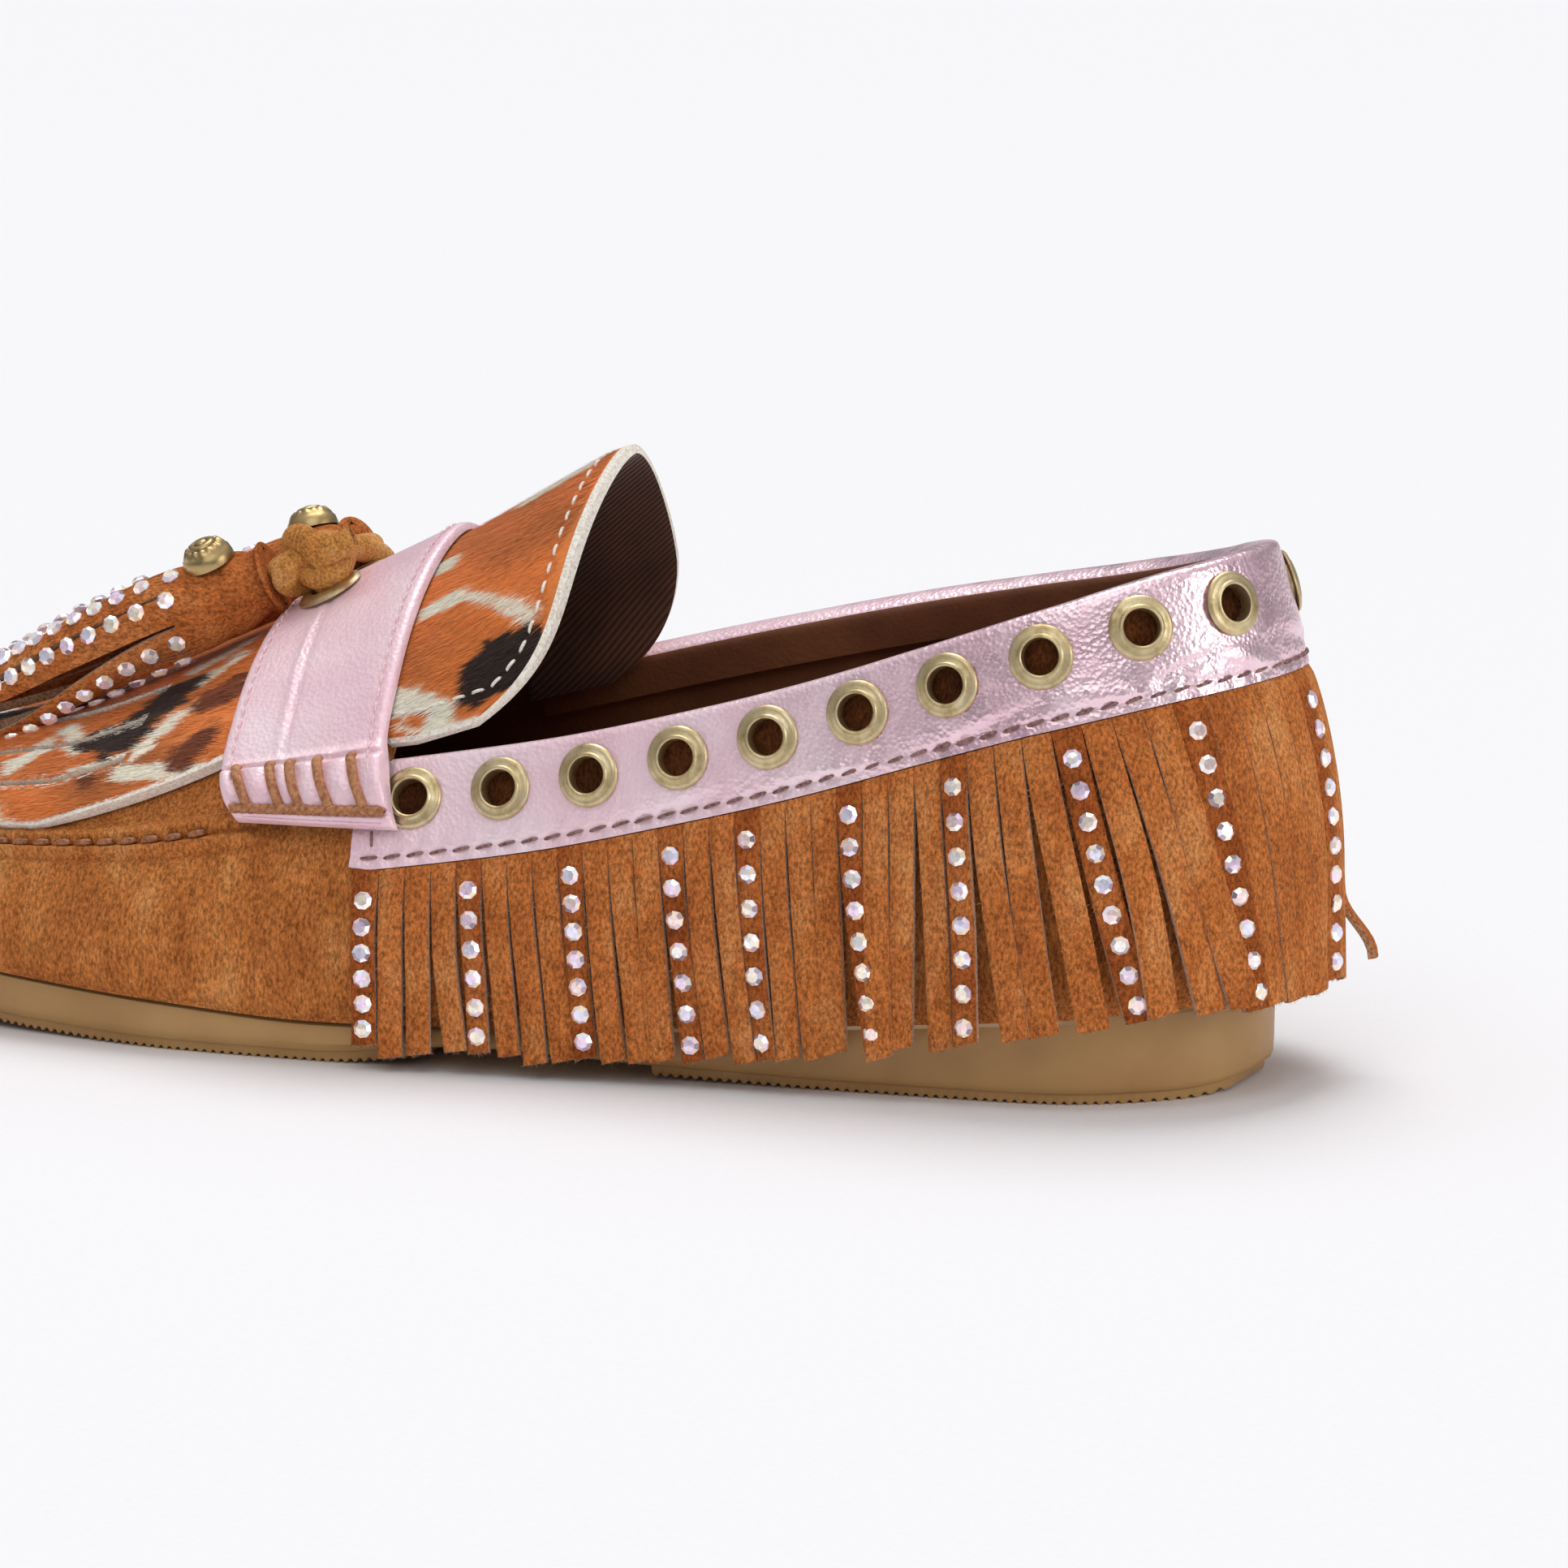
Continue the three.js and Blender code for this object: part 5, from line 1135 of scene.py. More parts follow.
# Patches laid one over another, each a streak: its two ends in millimetres, reach and shade
HIDE_PATCHES = (
    ((88.2, 18.5, 61.6), (84.0, 17.8, 64.1), 1.5, "cream"),
    ((84.0, 17.8, 64.1), (79.6, 19.5, 64.6), 0.9, "cream"),
    ((79.6, 19.5, 64.6), (75.2, 21.5, 64.5), 0.9, "cream"),
    ((75.2, 21.5, 64.5), (70.0, 24.0, 63.0), 1.4, "cream"),
    ((92.5, 9.4, 65.8), (89.0, 10.4, 67.5), 1.9, "cream"),
    ((80.2, 0.9, 76.0), (70.8, 0.8, 81.1), 1.9, "cream"),
    ((74.1, 27.1, 57.4), (70.6, 26.8, 58.8), 3.0, "black"),
    ((76.6, 28.1, 55.0), (76.0, 29.6, 52.7), 2.5, "black"),
    ((73.7, 28.9, 54.5), (72.0, 28.6, 56.0), 2.8, "black"),
    ((87.8, 29.2, 50.6), (80.4, 30.7, 49.8), 2.2, "cream"),
    ((84.8, 32.0, 47.1), (77.5, 32.5, 48.5), 2.2, "cream"),
    ((84.9, 31.1, 48.3), (83.6, 31.2, 48.4), 1.0, "rust"),
    ((87.6, 32.4, 45.9), (85.8, 32.6, 45.9), 1.4, "rust"),
    ((76.0, -14.0, 72.0), (76.0, -20.0, 62.0), 4.5, "cream"),
    ((84.0, -9.0, 69.5), (80.0, -12.0, 69.5), 3.5, "black"),
    ((84.0, -24.0, 56.0), (75.0, -26.0, 54.0), 4.0, "cream"),
    ((124.6, 17.8, 48.9), (120.7, 12.2, 52.0), 1.8, "cream"),
    ((128.5, 13.0, 49.0), (122.0, 8.0, 53.5), 1.8, "cream"),
    ((125.5, 24.0, 45.1), (129.5, 29.3, 40.1), 1.8, "cream"),
    ((123.8, 23.3, 46.1), (126.2, 26.6, 43.1), 1.3, "cream"),
    ((131.0, 31.9, 37.6), (116.0, 33.8, 39.6), 2.0, "cream"),
    ((140.6, 25.5, 39.6), (145.2, 19.8, 41.2), 2.2, "cream"),
    ((147.3, 22.7, 39.2), (151.1, 25.5, 36.6), 2.6, "cream"),
    ((148.4, 35.2, 29.6), (152.5, 31.4, 32.0), 1.5, "cream"),
    ((140.0, 29.3, 37.0), (134.0, 29.5, 38.4), 0.7, "cream"),
    ((128.0, 17.3, 47.9), (133.9, 26.1, 41.2), 2.7, "black"),
    ((131.6, 24.4, 42.8), (138.7, 24.6, 40.6), 2.0, "black"),
    ((121.1, 22.4, 47.5), (118.0, 21.0, 49.0), 2.6, "dark_rust"),
    ((121.0, 32.0, 40.0), (118.6, 29.0, 43.0), 2.1, "dark_rust"),
    ((135.5, 32.3, 36.0), (136.4, 31.6, 36.3), 1.2, "dark_rust"),
    ((160.0, 22.0, 34.0), (170.0, 14.0, 30.0), 5.0, "cream"),
    ((158.0, 8.0, 39.0), (166.0, 4.0, 36.0), 3.5, "black"),
    ((146.0, -8.0, 43.5), (154.0, -16.0, 38.0), 4.5, "cream"),
    ((128.0, -12.0, 48.0), (134.0, -20.0, 43.0), 3.5, "black"),
    ((120.0, -26.0, 45.0), (130.0, -30.0, 38.0), 4.0, "cream"),
    ((168.0, -18.0, 30.0), (176.0, -10.0, 29.0), 4.0, "dark_rust"),
)


def wander(points, size, seed):
    """Smooth variation between about -1 and 1 over points, its swells about size millimetres across."""
    waves = np.random.default_rng(seed)
    total = np.zeros(points.shape[:-1])
    for k in range(9):
        direction = waves.normal(0, 1, 3)
        direction /= np.linalg.norm(direction) * size * waves.uniform(0.12, 0.4)
        total += np.sin(points @ direction + waves.uniform(0, 2 * np.pi)) * waves.uniform(0.5, 1)
    return total / 3.2


KILTIE_FROM = 112.0  # in mm from the heel: forward of it the streaks are the kiltie's
STREAK_REACH = {"cream": 0.72, "black": 1.3, "dark_rust": 1.1, "rust": 1.0}


def hide_shade(points):
    """The colour of the hair at points: rust, with patches whose edges are ragged along the hair."""
    mix = 0.5 + 0.5 * wander(points * np.array([0.5, 1, 1]), 7.0, 3)
    shade = np.array(HIDE_SHADES["rust"]) * (0.78 + 0.44 * mix[..., None])
    ragged = 0.5 * wander(points * np.array([0.6, 1, 1]), 3.2, 21) + 0.34 * wander(points, 1.2, 22)
    for start, end, reach, name in HIDE_PATCHES:
        reach = reach * STREAK_REACH[name] if start[0] > KILTIE_FROM else reach
        start, way = np.array(start), np.array(end) - np.array(start)
        share = np.clip((points - start) @ way / (way @ way), 0, 1)
        away = np.linalg.norm(points - start - share[..., None] * way, axis=-1) / reach
        inside = smooth((1.12 + 0.5 * ragged - away) / (0.35 / reach))[..., None]
        shade = shade * (1 - inside) + np.array(HIDE_SHADES[name]) * inside
    return shade


def hide_material(name, light):
    """Hair in its own colours, streaked along its length, with a soft gloss."""
    material, tree, place = new_material(name)
    shade = add(tree, "Attribute", {"attribute_name": "hair"}).outputs["Color"]
    run = add(tree, "Mapping", {"Scale": (0.16, 1.0, 0.5)}, {"Vector": place})
    streak = add(tree, "TexNoise", {"Scale": 2600.0, "Detail": 4.0, "Roughness": 0.7}, {"Vector": run})
    shades = [(0.3, linear("#d8d8d8")), (0.6, linear(light))]
    darker = add(tree, "ValToRGB", {"stops": shades}, {"Fac": streak})
    tone = add(tree, "Mix", {"data_type": "RGBA", "blend_type": "MULTIPLY", 0: 0.7}, {6: shade, 7: darker})
    bump = add(tree, "Bump", {"Strength": 0.35, "Distance": 0.3 * MM}, {"Height": streak})
    look = {"Roughness": 0.5, "Specular IOR Level": 0.2, "Sheen Weight": 0.1}
    close_material(tree, add(tree, "BsdfPrincipled", look, {"Base Color": tone.outputs[2], "Normal": bump}))
    return material


calf_hide = hide_material("calf_hair", "#ffffff")
calf_hairs = hide_material("calf_hair_strands", "#ffffff")

hide_edge, tree, place = new_material("hide_cut_edge")
fibre = add(tree, "TexNoise", {"Scale": 2200.0, "Detail": 3.0}, {"Vector": place})
tone = add(tree, "ValToRGB", {"stops": [(0.3, linear("#dccdb9")), (0.6, linear("#fbf5ea"))]}, {"Fac": fibre})
fibre_bump = add(tree, "Bump", {"Strength": 0.8, "Distance": 0.3 * MM}, {"Height": fibre})
close_material(
    tree, add(tree, "BsdfPrincipled", {"Roughness": 0.95}, {"Base Color": tone, "Normal": fibre_bump})
)

twill, tree, place = new_material("brown_twill")
# Diagonal ribs of the weave, half a millimetre apart
weave = {"bands_direction": "DIAGONAL", "Scale": 560.0, "Distortion": 0.6, "Detail": 1.0}
ribs = add(tree, "TexWave", weave, {"Vector": place})
fluff = add(tree, "TexNoise", {"Scale": 160.0, "Detail": 4.0}, {"Vector": place})
tone = add(tree, "ValToRGB", {"stops": [(0.2, linear("#4a2614")), (0.8, linear("#7c4a2c"))]}, {"Fac": ribs})
shaded = add(
    tree, "ValToRGB", {"stops": [(0.3, linear("#a8a8a8")), (0.7, linear("#ffffff"))]}, {"Fac": fluff}
)
cloth = add(tree, "Mix", {"data_type": "RGBA", "blend_type": "MULTIPLY", 0: 0.7}, {6: tone, 7: shaded})
rib_bump = add(tree, "Bump", {"Strength": 0.5, "Distance": 0.2 * MM}, {"Height": ribs})
twill_look = {"Roughness": 0.9, "Sheen Weight": 0.3}
close_material(
    tree, add(tree, "BsdfPrincipled", twill_look, {"Base Color": cloth.outputs[2], "Normal": rib_bump})
)

white_thread, tree, place = new_material("cream_thread")
twist = add(tree, "TexNoise", {"Scale": 2500.0, "Detail": 2.0}, {"Vector": place})
tone = add(tree, "ValToRGB", {"stops": [(0.3, linear("#d9cdbd")), (0.7, linear("#fbf5ea"))]}, {"Fac": twist})
close_material(tree, add(tree, "BsdfPrincipled", {"Roughness": 0.7}, {"Base Color": tone}))


def on_layer(angle, across, low, offset):
    """A point of the hides over the instep, from low on the outer side, across -1, over the crest to 1."""
    place = np.where(across <= 0, angle, 2 - angle)
    return on_rib(place, 1 - np.abs(across) * (1 - low), offset + 0 * across)


def haired_mesh(name, points, faces, kinds):
    """A hide's mesh, with its hair colours stored at its corners."""
    mesh = mesh_of(name, points, faces, [calf_hide, twill, hide_edge], kinds, sharp=60)
    layer = mesh.color_attributes.new("hair", "FLOAT_COLOR", "POINT")
    shade = np.concatenate([hide_shade(points), np.ones((len(points), 1))], 1)
    layer.data.foreach_set("color", shade.ravel())
    return mesh


def hair_mesh(name, roots, normals, lengths, lie, seed):
    """Hairs as thin triangles that lie along a direction. Each hair stands for a tuft of finer ones."""
    combing = np.random.default_rng(seed)
    along = lie + combing.normal(0, 0.16, roots.shape)
    along = unit(along - normals * (along * normals).sum(-1, keepdims=True))
    rise = combing.uniform(0.06, 0.2, (len(roots), 1))
    tips = roots + (along * (1 - rise) + normals * rise) * lengths[:, None]
    width = np.cross(along, normals) * combing.uniform(0.05, 0.1, (len(roots), 1))
    points = np.stack([roots - width, roots + width, tips], 1).reshape(-1, 3)
    first = np.arange(len(roots)) * 3
    faces = np.stack([first, first + 1, first + 2, first + 2], -1)
    mesh = mesh_of(name, points, faces, [calf_hairs])
    shade = np.minimum(hide_shade(roots) * combing.uniform(0.86, 1.32, (len(roots), 1)), 0.99)
    shade = np.repeat(np.concatenate([shade, np.ones((len(roots), 1))], 1), 3, axis=0)
    layer = mesh.color_attributes.new("hair", "FLOAT_COLOR", "POINT")
    layer.data.foreach_set("color", shade.ravel())
    return mesh


TUCK = 6.6  # how far the tongue's inner corner goes in behind the collar


def tongue_point(along, across, offset):
    """along runs from 0 at the free edge to 1 under the strap, across from -1 to 1."""
    rear = TONGUE["rear"] + TONGUE["corner"] * np.abs(across) ** 12
    angle = angle_of(rear + (TONGUE["front"] - rear) * along)
    place = np.where(across <= 0, angle, 2 - angle)
    free_turn = np.maximum(TONGUE["lowest"], turn_at_height(place, topline_height(place) + TONGUE["clear"]))
    passed = smooth((angle - throat_angle) / 0.01)
    # The inner side tucks in behind the collar
    tucked = smooth((across - 0.72) / 0.28) * (1 - passed)
    free_turn = np.where(across > 0, turn_at_height(place, topline_height(place) - 1), free_turn)
    low = free_turn * (1 - passed) + TONGUE["under_strap"] * passed
    return on_layer(angle, across, low, offset - TUCK * tucked)


along_cells, across_cells = np.meshgrid(np.linspace(0, 1, 70), np.linspace(-1, 1, 150), indexing="ij")
edge_near = np.minimum(along_cells * 30, (1 - np.abs(across_cells)) * 40)
round_off = 0.35 * np.exp(-edge_near / 0.6)
ripple = 0.18 * np.sin(across_cells * 9 + 1) * np.exp(-along_cells * 6)
tongue_face = tongue_point(along_cells, across_cells, HIDE_FACE - round_off + ripple)
tongue_back = tongue_point(along_cells, across_cells, LAYER_GAP + round_off * 0.4 + ripple * 0.5)
points, faces, kinds = skin(tongue_face, tongue_back)
# The hair stops short of the cut edge, so the face's own rim is bare and pale
columns, rows = along_cells.shape[0] - 1, along_cells.shape[1] - 1
face_column, face_row = np.divmod(np.arange(columns * rows), rows)
kinds[: columns * rows][(face_column < 2) | (face_row < 1) | (face_row > rows - 2)] = 2
link_piece("tongue_hide", haired_mesh("tongue_hide", points, faces, kinds), ["tongue"])

combed = np.random.default_rng(17)
HAIR_LIE = np.array([0.9, 0.25, -0.75])


def roots_on(surface, count, low, high):
    """Random points on a surface of two coordinates, each between its low and high, with their normals."""
    a, b = (combed.uniform(low[k], high[k], count) for k in (0, 1))
    step = 0.004
    here = surface(a, b)
    normals = unit(np.cross(surface(a + step, b) - here, surface(a, b + step) - here))
    away = here - np.array([70.0, 0.0, 0.0])
    return here, np.where(((normals * away).sum(-1) < 0)[:, None], -normals, normals)


HAIR_ROOT = HIDE_FACE - 0.05
roots, normals = roots_on(lambda a, b: tongue_point(a, b, HAIR_ROOT), 42000, (0.035, -0.975), (0.8, 0.975))
hairs = hair_mesh("tongue_hair", roots, normals, combed.uniform(1.6, 3.4, len(roots)), HAIR_LIE, 31)
link_piece("tongue_hair", hairs)

# White running stitch, 3 mm inside the raw edge
edge_line = np.concatenate(
    [
        np.stack([np.linspace(0.8, 0.14, 60), np.full(60, -0.925)], 1),
        np.stack([0.14 - 0.045 * np.sin(np.linspace(0, np.pi / 2, 14)), np.linspace(-0.925, -0.84, 14)], 1)[
            1:
        ],
        np.stack([np.full(120, 0.095), np.linspace(-0.84, 0.84, 120)], 1)[1:],
        np.stack([0.14 - 0.045 * np.cos(np.linspace(0, np.pi / 2, 14)), np.linspace(0.84, 0.925, 14)], 1)[1:],
        np.stack([np.linspace(0.14, 0.8, 60), np.full(60, 0.925)], 1)[1:],
    ]
)
run = tongue_point(edge_line[:, 0], edge_line[:, 1], HIDE_FACE + 0.1)
run_normal = unit(run - tongue_point(edge_line[:, 0], edge_line[:, 1], HIDE_FACE - 0.9))
points, faces = stitches(run, run_normal, 3.1, 2.3, 0.24)
link_piece("tongue_stitching", mesh_of("tongue_stitching", points, faces, [white_thread]))

kiltie_strips = KILTIE["strips"]


def kiltie_point(along, across, offset):
    """along is a share of the shoe's length, across runs from -1 to 1."""
    angle = angle_of(along)
    narrowing = OVER_SEAM["widening"] * (along - KILTIE["rear"])
    above = np.maximum(OVER_SEAM["least"], OVER_SEAM["rear"] - narrowing)
    return on_layer(angle, across, seam_turn(angle) + above, offset)


CELLS_A_STRIP = 8
row_across, slit_cell = [], []
for strip in range(kiltie_strips):
    low, high = 2 * strip / kiltie_strips - 1, 2 * (strip + 1) / kiltie_strips - 1
    low += KILTIE["slit"] * 0.8 if strip else 0
    high -= KILTIE["slit"] * 0.8 if strip < kiltie_strips - 1 else 0
    row_across += list(np.linspace(low, high, CELLS_A_STRIP + 1))
    slit_cell += [False] * CELLS_A_STRIP + [True] * (strip < kiltie_strips - 1)
row_across, slit_cell = np.array(row_across), np.array(slit_cell)
kiltie_along = np.linspace(KILTIE["rear"], KILTIE["front"], 110)
along_grid, across_grid = np.meshgrid(kiltie_along, row_across, indexing="ij")
strip_of = np.repeat(np.arange(kiltie_strips), CELLS_A_STRIP + 1)
within = (row_across * kiltie_strips + kiltie_strips) / 2 - strip_of - 0.5  # -.5 to .5 across a strip
opened = smooth((along_grid - KILTIE["slits"]) / 0.05)
laid = np.random.default_rng(23)
tilt = laid.normal(0, 0.35, kiltie_strips)[strip_of]
lifted = laid.uniform(0, 0.8, kiltie_strips)[strip_of]
strip_form = opened * (
    0.35 * tilt * 2 * within - 1.2 * within**2 + lifted * smooth((along_grid - 0.74) / 0.14)
)
edge_drop_off = opened * 0.3 * np.abs(2 * within) ** 10
kiltie_face = kiltie_point(along_grid, across_grid, HIDE_FACE + strip_form - edge_drop_off)
kiltie_back = kiltie_point(along_grid, across_grid, LAYER_GAP + np.maximum(strip_form, 0))
keep = np.ones((len(kiltie_along) - 1, len(row_across) - 1), bool)
keep[np.ix_(kiltie_along[:-1] >= KILTIE["slits"], slit_cell)] = False
points, faces, kinds = skin(kiltie_face, kiltie_back, keep)
cell_column, cell_row = np.nonzero(keep)
in_strip = np.mod(cell_row, CELLS_A_STRIP + 1)
at_cut = (in_strip == 0) | (in_strip == CELLS_A_STRIP - 1)
kinds[: keep.sum()][at_cut & (kiltie_along[cell_column] >= KILTIE["slits"])] = 2
kinds[: keep.sum()][(cell_row == 0) | (cell_row == keep.shape[1] - 1)] = 2
link_piece("kiltie_hide", haired_mesh("kiltie_hide", points, faces, kinds), ["kiltie"])

KILTIE_HAIRS = 60000
combed.uniform(0, 1, 2 * KILTIE_HAIRS)  # keeps the draws that follow as they are
pick = combed.uniform(KILTIE["rear"] + 0.02, KILTIE["front"], KILTIE_HAIRS)
strip_pick = combed.integers(0, kiltie_strips, KILTIE_HAIRS)
within_pick = combed.uniform(-0.42, 0.42, KILTIE_HAIRS)
across_pick = 2 * (strip_pick + 0.5 + within_pick) / kiltie_strips - 1
open_pick = smooth((pick - KILTIE["slits"]) / 0.05)
rise_pick = open_pick * (0.7 * tilt[:: CELLS_A_STRIP + 1][strip_pick] * within_pick - 1.2 * within_pick**2)
rise_pick += open_pick * lifted[:: CELLS_A_STRIP + 1][strip_pick] * smooth((pick - 0.74) / 0.14)
roots = kiltie_point(pick, across_pick, HAIR_ROOT + rise_pick)
normals = unit(roots - kiltie_point(pick, across_pick, HAIR_ROOT - 1 + rise_pick))
kiltie_lie = np.array([1.0, 0.1, -0.3])
hairs = hair_mesh("kiltie_hair", roots, normals, combed.uniform(1.4, 3.0, len(roots)), kiltie_lie, 37)
link_piece("kiltie_hair", hairs)

# Strap. A saddle of the same metallic nappa over the instep, its edges turned under and stitched. At each
# end it is rolled over the seam and whipped with thick waxed cord.
STRAP_STOCK = 1.5
STRAP_BACK = HIDE_FACE + LAYER_GAP
STRAP_FACE = STRAP_BACK + STRAP_STOCK
STRAP = {"rear_crest": 0.506, "rear_end": 0.478, "front_crest": 0.618, "front_end": 0.578, "sweep": 1.4}
STRAP_WIDTH = 22  # in mm, for what is measured along it; its ends are HALF_STRAP from the crest
HALF_STRAP = 45
STRAP_DROOP = 0.05
STRAP_EASE = 0.5
ROLL_RISE = 2
STRAP_ACROSS = {
    "turn": (1, 0.88, 0.76, 0.64, 0.53, 0.425, 0.4, 0.365, 0.335, 0.318),
    "ease": (0, 0, 0, 0, 0, 0.6, 1, 1, 1, 0.6),
    "roll": (0, 0, 0, 0, 0, 0, 0.7, 1, 0.5, 0),
}
strap_reach = np.linspace(0, 1, len(STRAP_ACROSS["turn"]))


def strap_point(along, share, offset, rolled=1.0):
    """along runs from the rear edge, 0, to the front edge, 1; share from -1, the outer end, over the crest
    to 1."""
    reach = np.abs(share)
    rear = STRAP["rear_crest"] + (STRAP["rear_end"] - STRAP["rear_crest"]) * reach ** STRAP["sweep"]
    front = STRAP["front_crest"] + (STRAP["front_end"] - STRAP["front_crest"]) * reach
    angle = angle_of(rear + (front - rear) * along)
    turn = curve_through(strap_reach, STRAP_ACROSS["turn"])(reach) - STRAP_DROOP * reach**2 * (1 - along)
    ease = curve_through(strap_reach, STRAP_ACROSS["ease"])(reach) * STRAP_EASE
    roll = curve_through(strap_reach, STRAP_ACROSS["roll"])(reach) * ROLL_RISE * rolled
    return on_rib(np.where(share <= 0, angle, 2 - angle), turn, offset + ease + roll)


# Creases of the strap: along and share of their middles, reach in both, slant and height in mm
STRAP_CREASES = (
    {"along": 0.62, "share": -0.4, "wide": 0.014, "long": 0.2, "slant": 0.1, "rise": -0.4},
    {"along": 0.655, "share": -0.4, "wide": 0.02, "long": 0.22, "slant": 0.1, "rise": 0.28},
    {"along": 0.3, "share": -0.66, "wide": 0.05, "long": 0.1, "slant": -0.6, "rise": -0.3},
    {"along": 0.5, "share": -0.74, "wide": 0.06, "long": 0.08, "slant": 0.8, "rise": -0.3},
    {"along": 0.55, "share": 0.4, "wide": 0.016, "long": 0.22, "slant": -0.12, "rise": -0.4},
)
along_grid, share_grid = np.meshgrid(
    np.concatenate([[0, 0.012], np.linspace(0.03, 0.97, 40), [0.988, 1]]),
    np.linspace(-1, 1, 260),
    indexing="ij",
)
edge_mm = np.minimum(along_grid, 1 - along_grid) * STRAP_WIDTH
end_mm = (1 - np.abs(share_grid)) * HALF_STRAP
rim = np.minimum(edge_mm, end_mm)
form = -0.55 * np.exp(-rim / 0.35)  # rounded rim of the folded edge
form += 0.06 * np.exp(-(((rim - 0.75) / 0.45) ** 2)) - 0.16 * np.exp(-(((rim - 1.5) / 0.35) ** 2))
for crease in STRAP_CREASES:
    v = share_grid - crease["share"]
    u = along_grid - crease["along"] - crease["slant"] * v
    form += crease["rise"] * np.exp(-((u / crease["wide"]) ** 2) - (v / crease["long"]) ** 2)
# The roll is drawn in under each loop of its whipping and stands up between them
WHIP_LOOPS = (0.16, 0.36, 0.54, 0.67, 0.88)
WHIP_FROM = 0.66
WHIP_TO = 0.91
in_roll = smooth((np.abs(share_grid) - WHIP_FROM) / 0.05) * smooth(
    (WHIP_TO + 0.02 - np.abs(share_grid)) / 0.05
)
for along in WHIP_LOOPS:
    form -= 0.75 * in_roll * np.exp(-(((along_grid - along) * STRAP_WIDTH / 1.1) ** 2))
form += 0.3 * in_roll
form -= 0.8 * np.exp(-(((np.abs(share_grid) - WHIP_FROM) * HALF_STRAP / 0.8) ** 2))
form -= 0.9 * np.exp(-(((np.abs(share_grid) - WHIP_TO) * HALF_STRAP / 0.8) ** 2))
strap_face = strap_point(along_grid, share_grid, STRAP_FACE + form)
strap_back = strap_point(along_grid, share_grid, STRAP_BACK + 0 * form, rolled=0.0)
strap_nappa = nappa_material("pink_strap_nappa", 0.36, 1500.0, 0.35)
points, faces, kinds = skin(strap_face, strap_back)
strap_mesh = mesh_of(
    "strap_saddle", points, faces, [strap_nappa, lining_leather, strap_nappa], kinds, sharp=60
)
link_piece("strap_saddle", strap_mesh, ["strap"])

pink_thread, tree, place = new_material("pink_thread")
twist = add(tree, "TexNoise", {"Scale": 2500.0, "Detail": 2.0}, {"Vector": place})
tone = add(tree, "ValToRGB", {"stops": [(0.3, linear("#d7b2b8")), (0.7, linear("#f4d9dc"))]}, {"Fac": twist})
close_material(tree, add(tree, "BsdfPrincipled", {"Roughness": 0.6}, {"Base Color": tone}))
edge_runs = []
for along in (0.07, 0.93):
    shares = np.linspace(-0.78, 0.78, 300)
    run = strap_point(np.full(300, along), shares, np.full(300, STRAP_FACE + 0.0))
    run_normal = unit(run - strap_point(np.full(300, along), shares, np.full(300, STRAP_FACE - 1.0)))
    edge_runs.append(stitches(run, run_normal, 2.2, 1.7, 0.2))
points, faces = joined(edge_runs)
link_piece("strap_stitching", mesh_of("strap_stitching", points, faces, [pink_thread]))

# Whipping: five loops of cord over each roll and a twisted cord along its foot
cord_thread, tree, place = new_material("brown_whip_cord")
twist = add(tree, "TexNoise", {"Scale": 1500.0, "Detail": 3.0}, {"Vector": place})
tone = add(tree, "ValToRGB", {"stops": [(0.3, linear("#8a5230")), (0.7, linear("#c58a5c"))]}, {"Fac": twist})
twist_bump = add(tree, "Bump", {"Strength": 0.7, "Distance": 0.25 * MM}, {"Height": twist})
close_material(
    tree, add(tree, "BsdfPrincipled", {"Roughness": 0.6}, {"Base Color": tone, "Normal": twist_bump})
)
whipping = []
for side in (-1, 1):
    shares = np.linspace(WHIP_FROM, WHIP_TO, 16) * side
    dive = np.concatenate([[-1.1, -0.3], np.full(12, 0.1), [-0.3, -1.1]])
    lean_along = np.linspace(0.02, -0.03, 16)
    paths, normals = [], []
    for along in WHIP_LOOPS:
        path = strap_point(along + lean_along, shares, STRAP_FACE + dive)
        under = strap_point(along + lean_along, shares, STRAP_FACE + dive - 1.0)
        paths.append(path)
        normals.append(unit(path - under))
    whipping.append(tubes(paths, 0.72, 10, np.array(normals)))
    running = np.linspace(0.02, 0.97, 80)
    path = strap_point(running, np.full(80, WHIP_TO * side), STRAP_FACE + 0.3 + 0 * running)
    under = strap_point(running, np.full(80, WHIP_TO * side), STRAP_FACE - 0.7 + 0 * running)
    for phase in (0, np.pi):
        wound_path = path + unit(path - under) * (0.28 * np.sin(running * 60 + phase))[:, None]
        wound_path = wound_path + np.array([0, 0, 1.0]) * (0.28 * np.cos(running * 60 + phase))[:, None]
        whipping.append(tubes(wound_path[None], 0.5, 8, unit(path - under)[None]))
points, faces = joined(whipping)
link_piece("strap_whipping", mesh_of("strap_whipping", points, faces, [cord_thread]))

# Strap eyelets. One brass eyelet on each side of the crest, where the thong comes through.
STRAP_EYELET = {"at": 0.578, "turn": 0.84, "radius": 5, "bore": 2.6}


def place_on(side, at):
    """The place round the last at a share of the shoe's length, on the outer side, 1, or the inner, -1."""
    return angle_of(at) if side > 0 else 2 - angle_of(at)


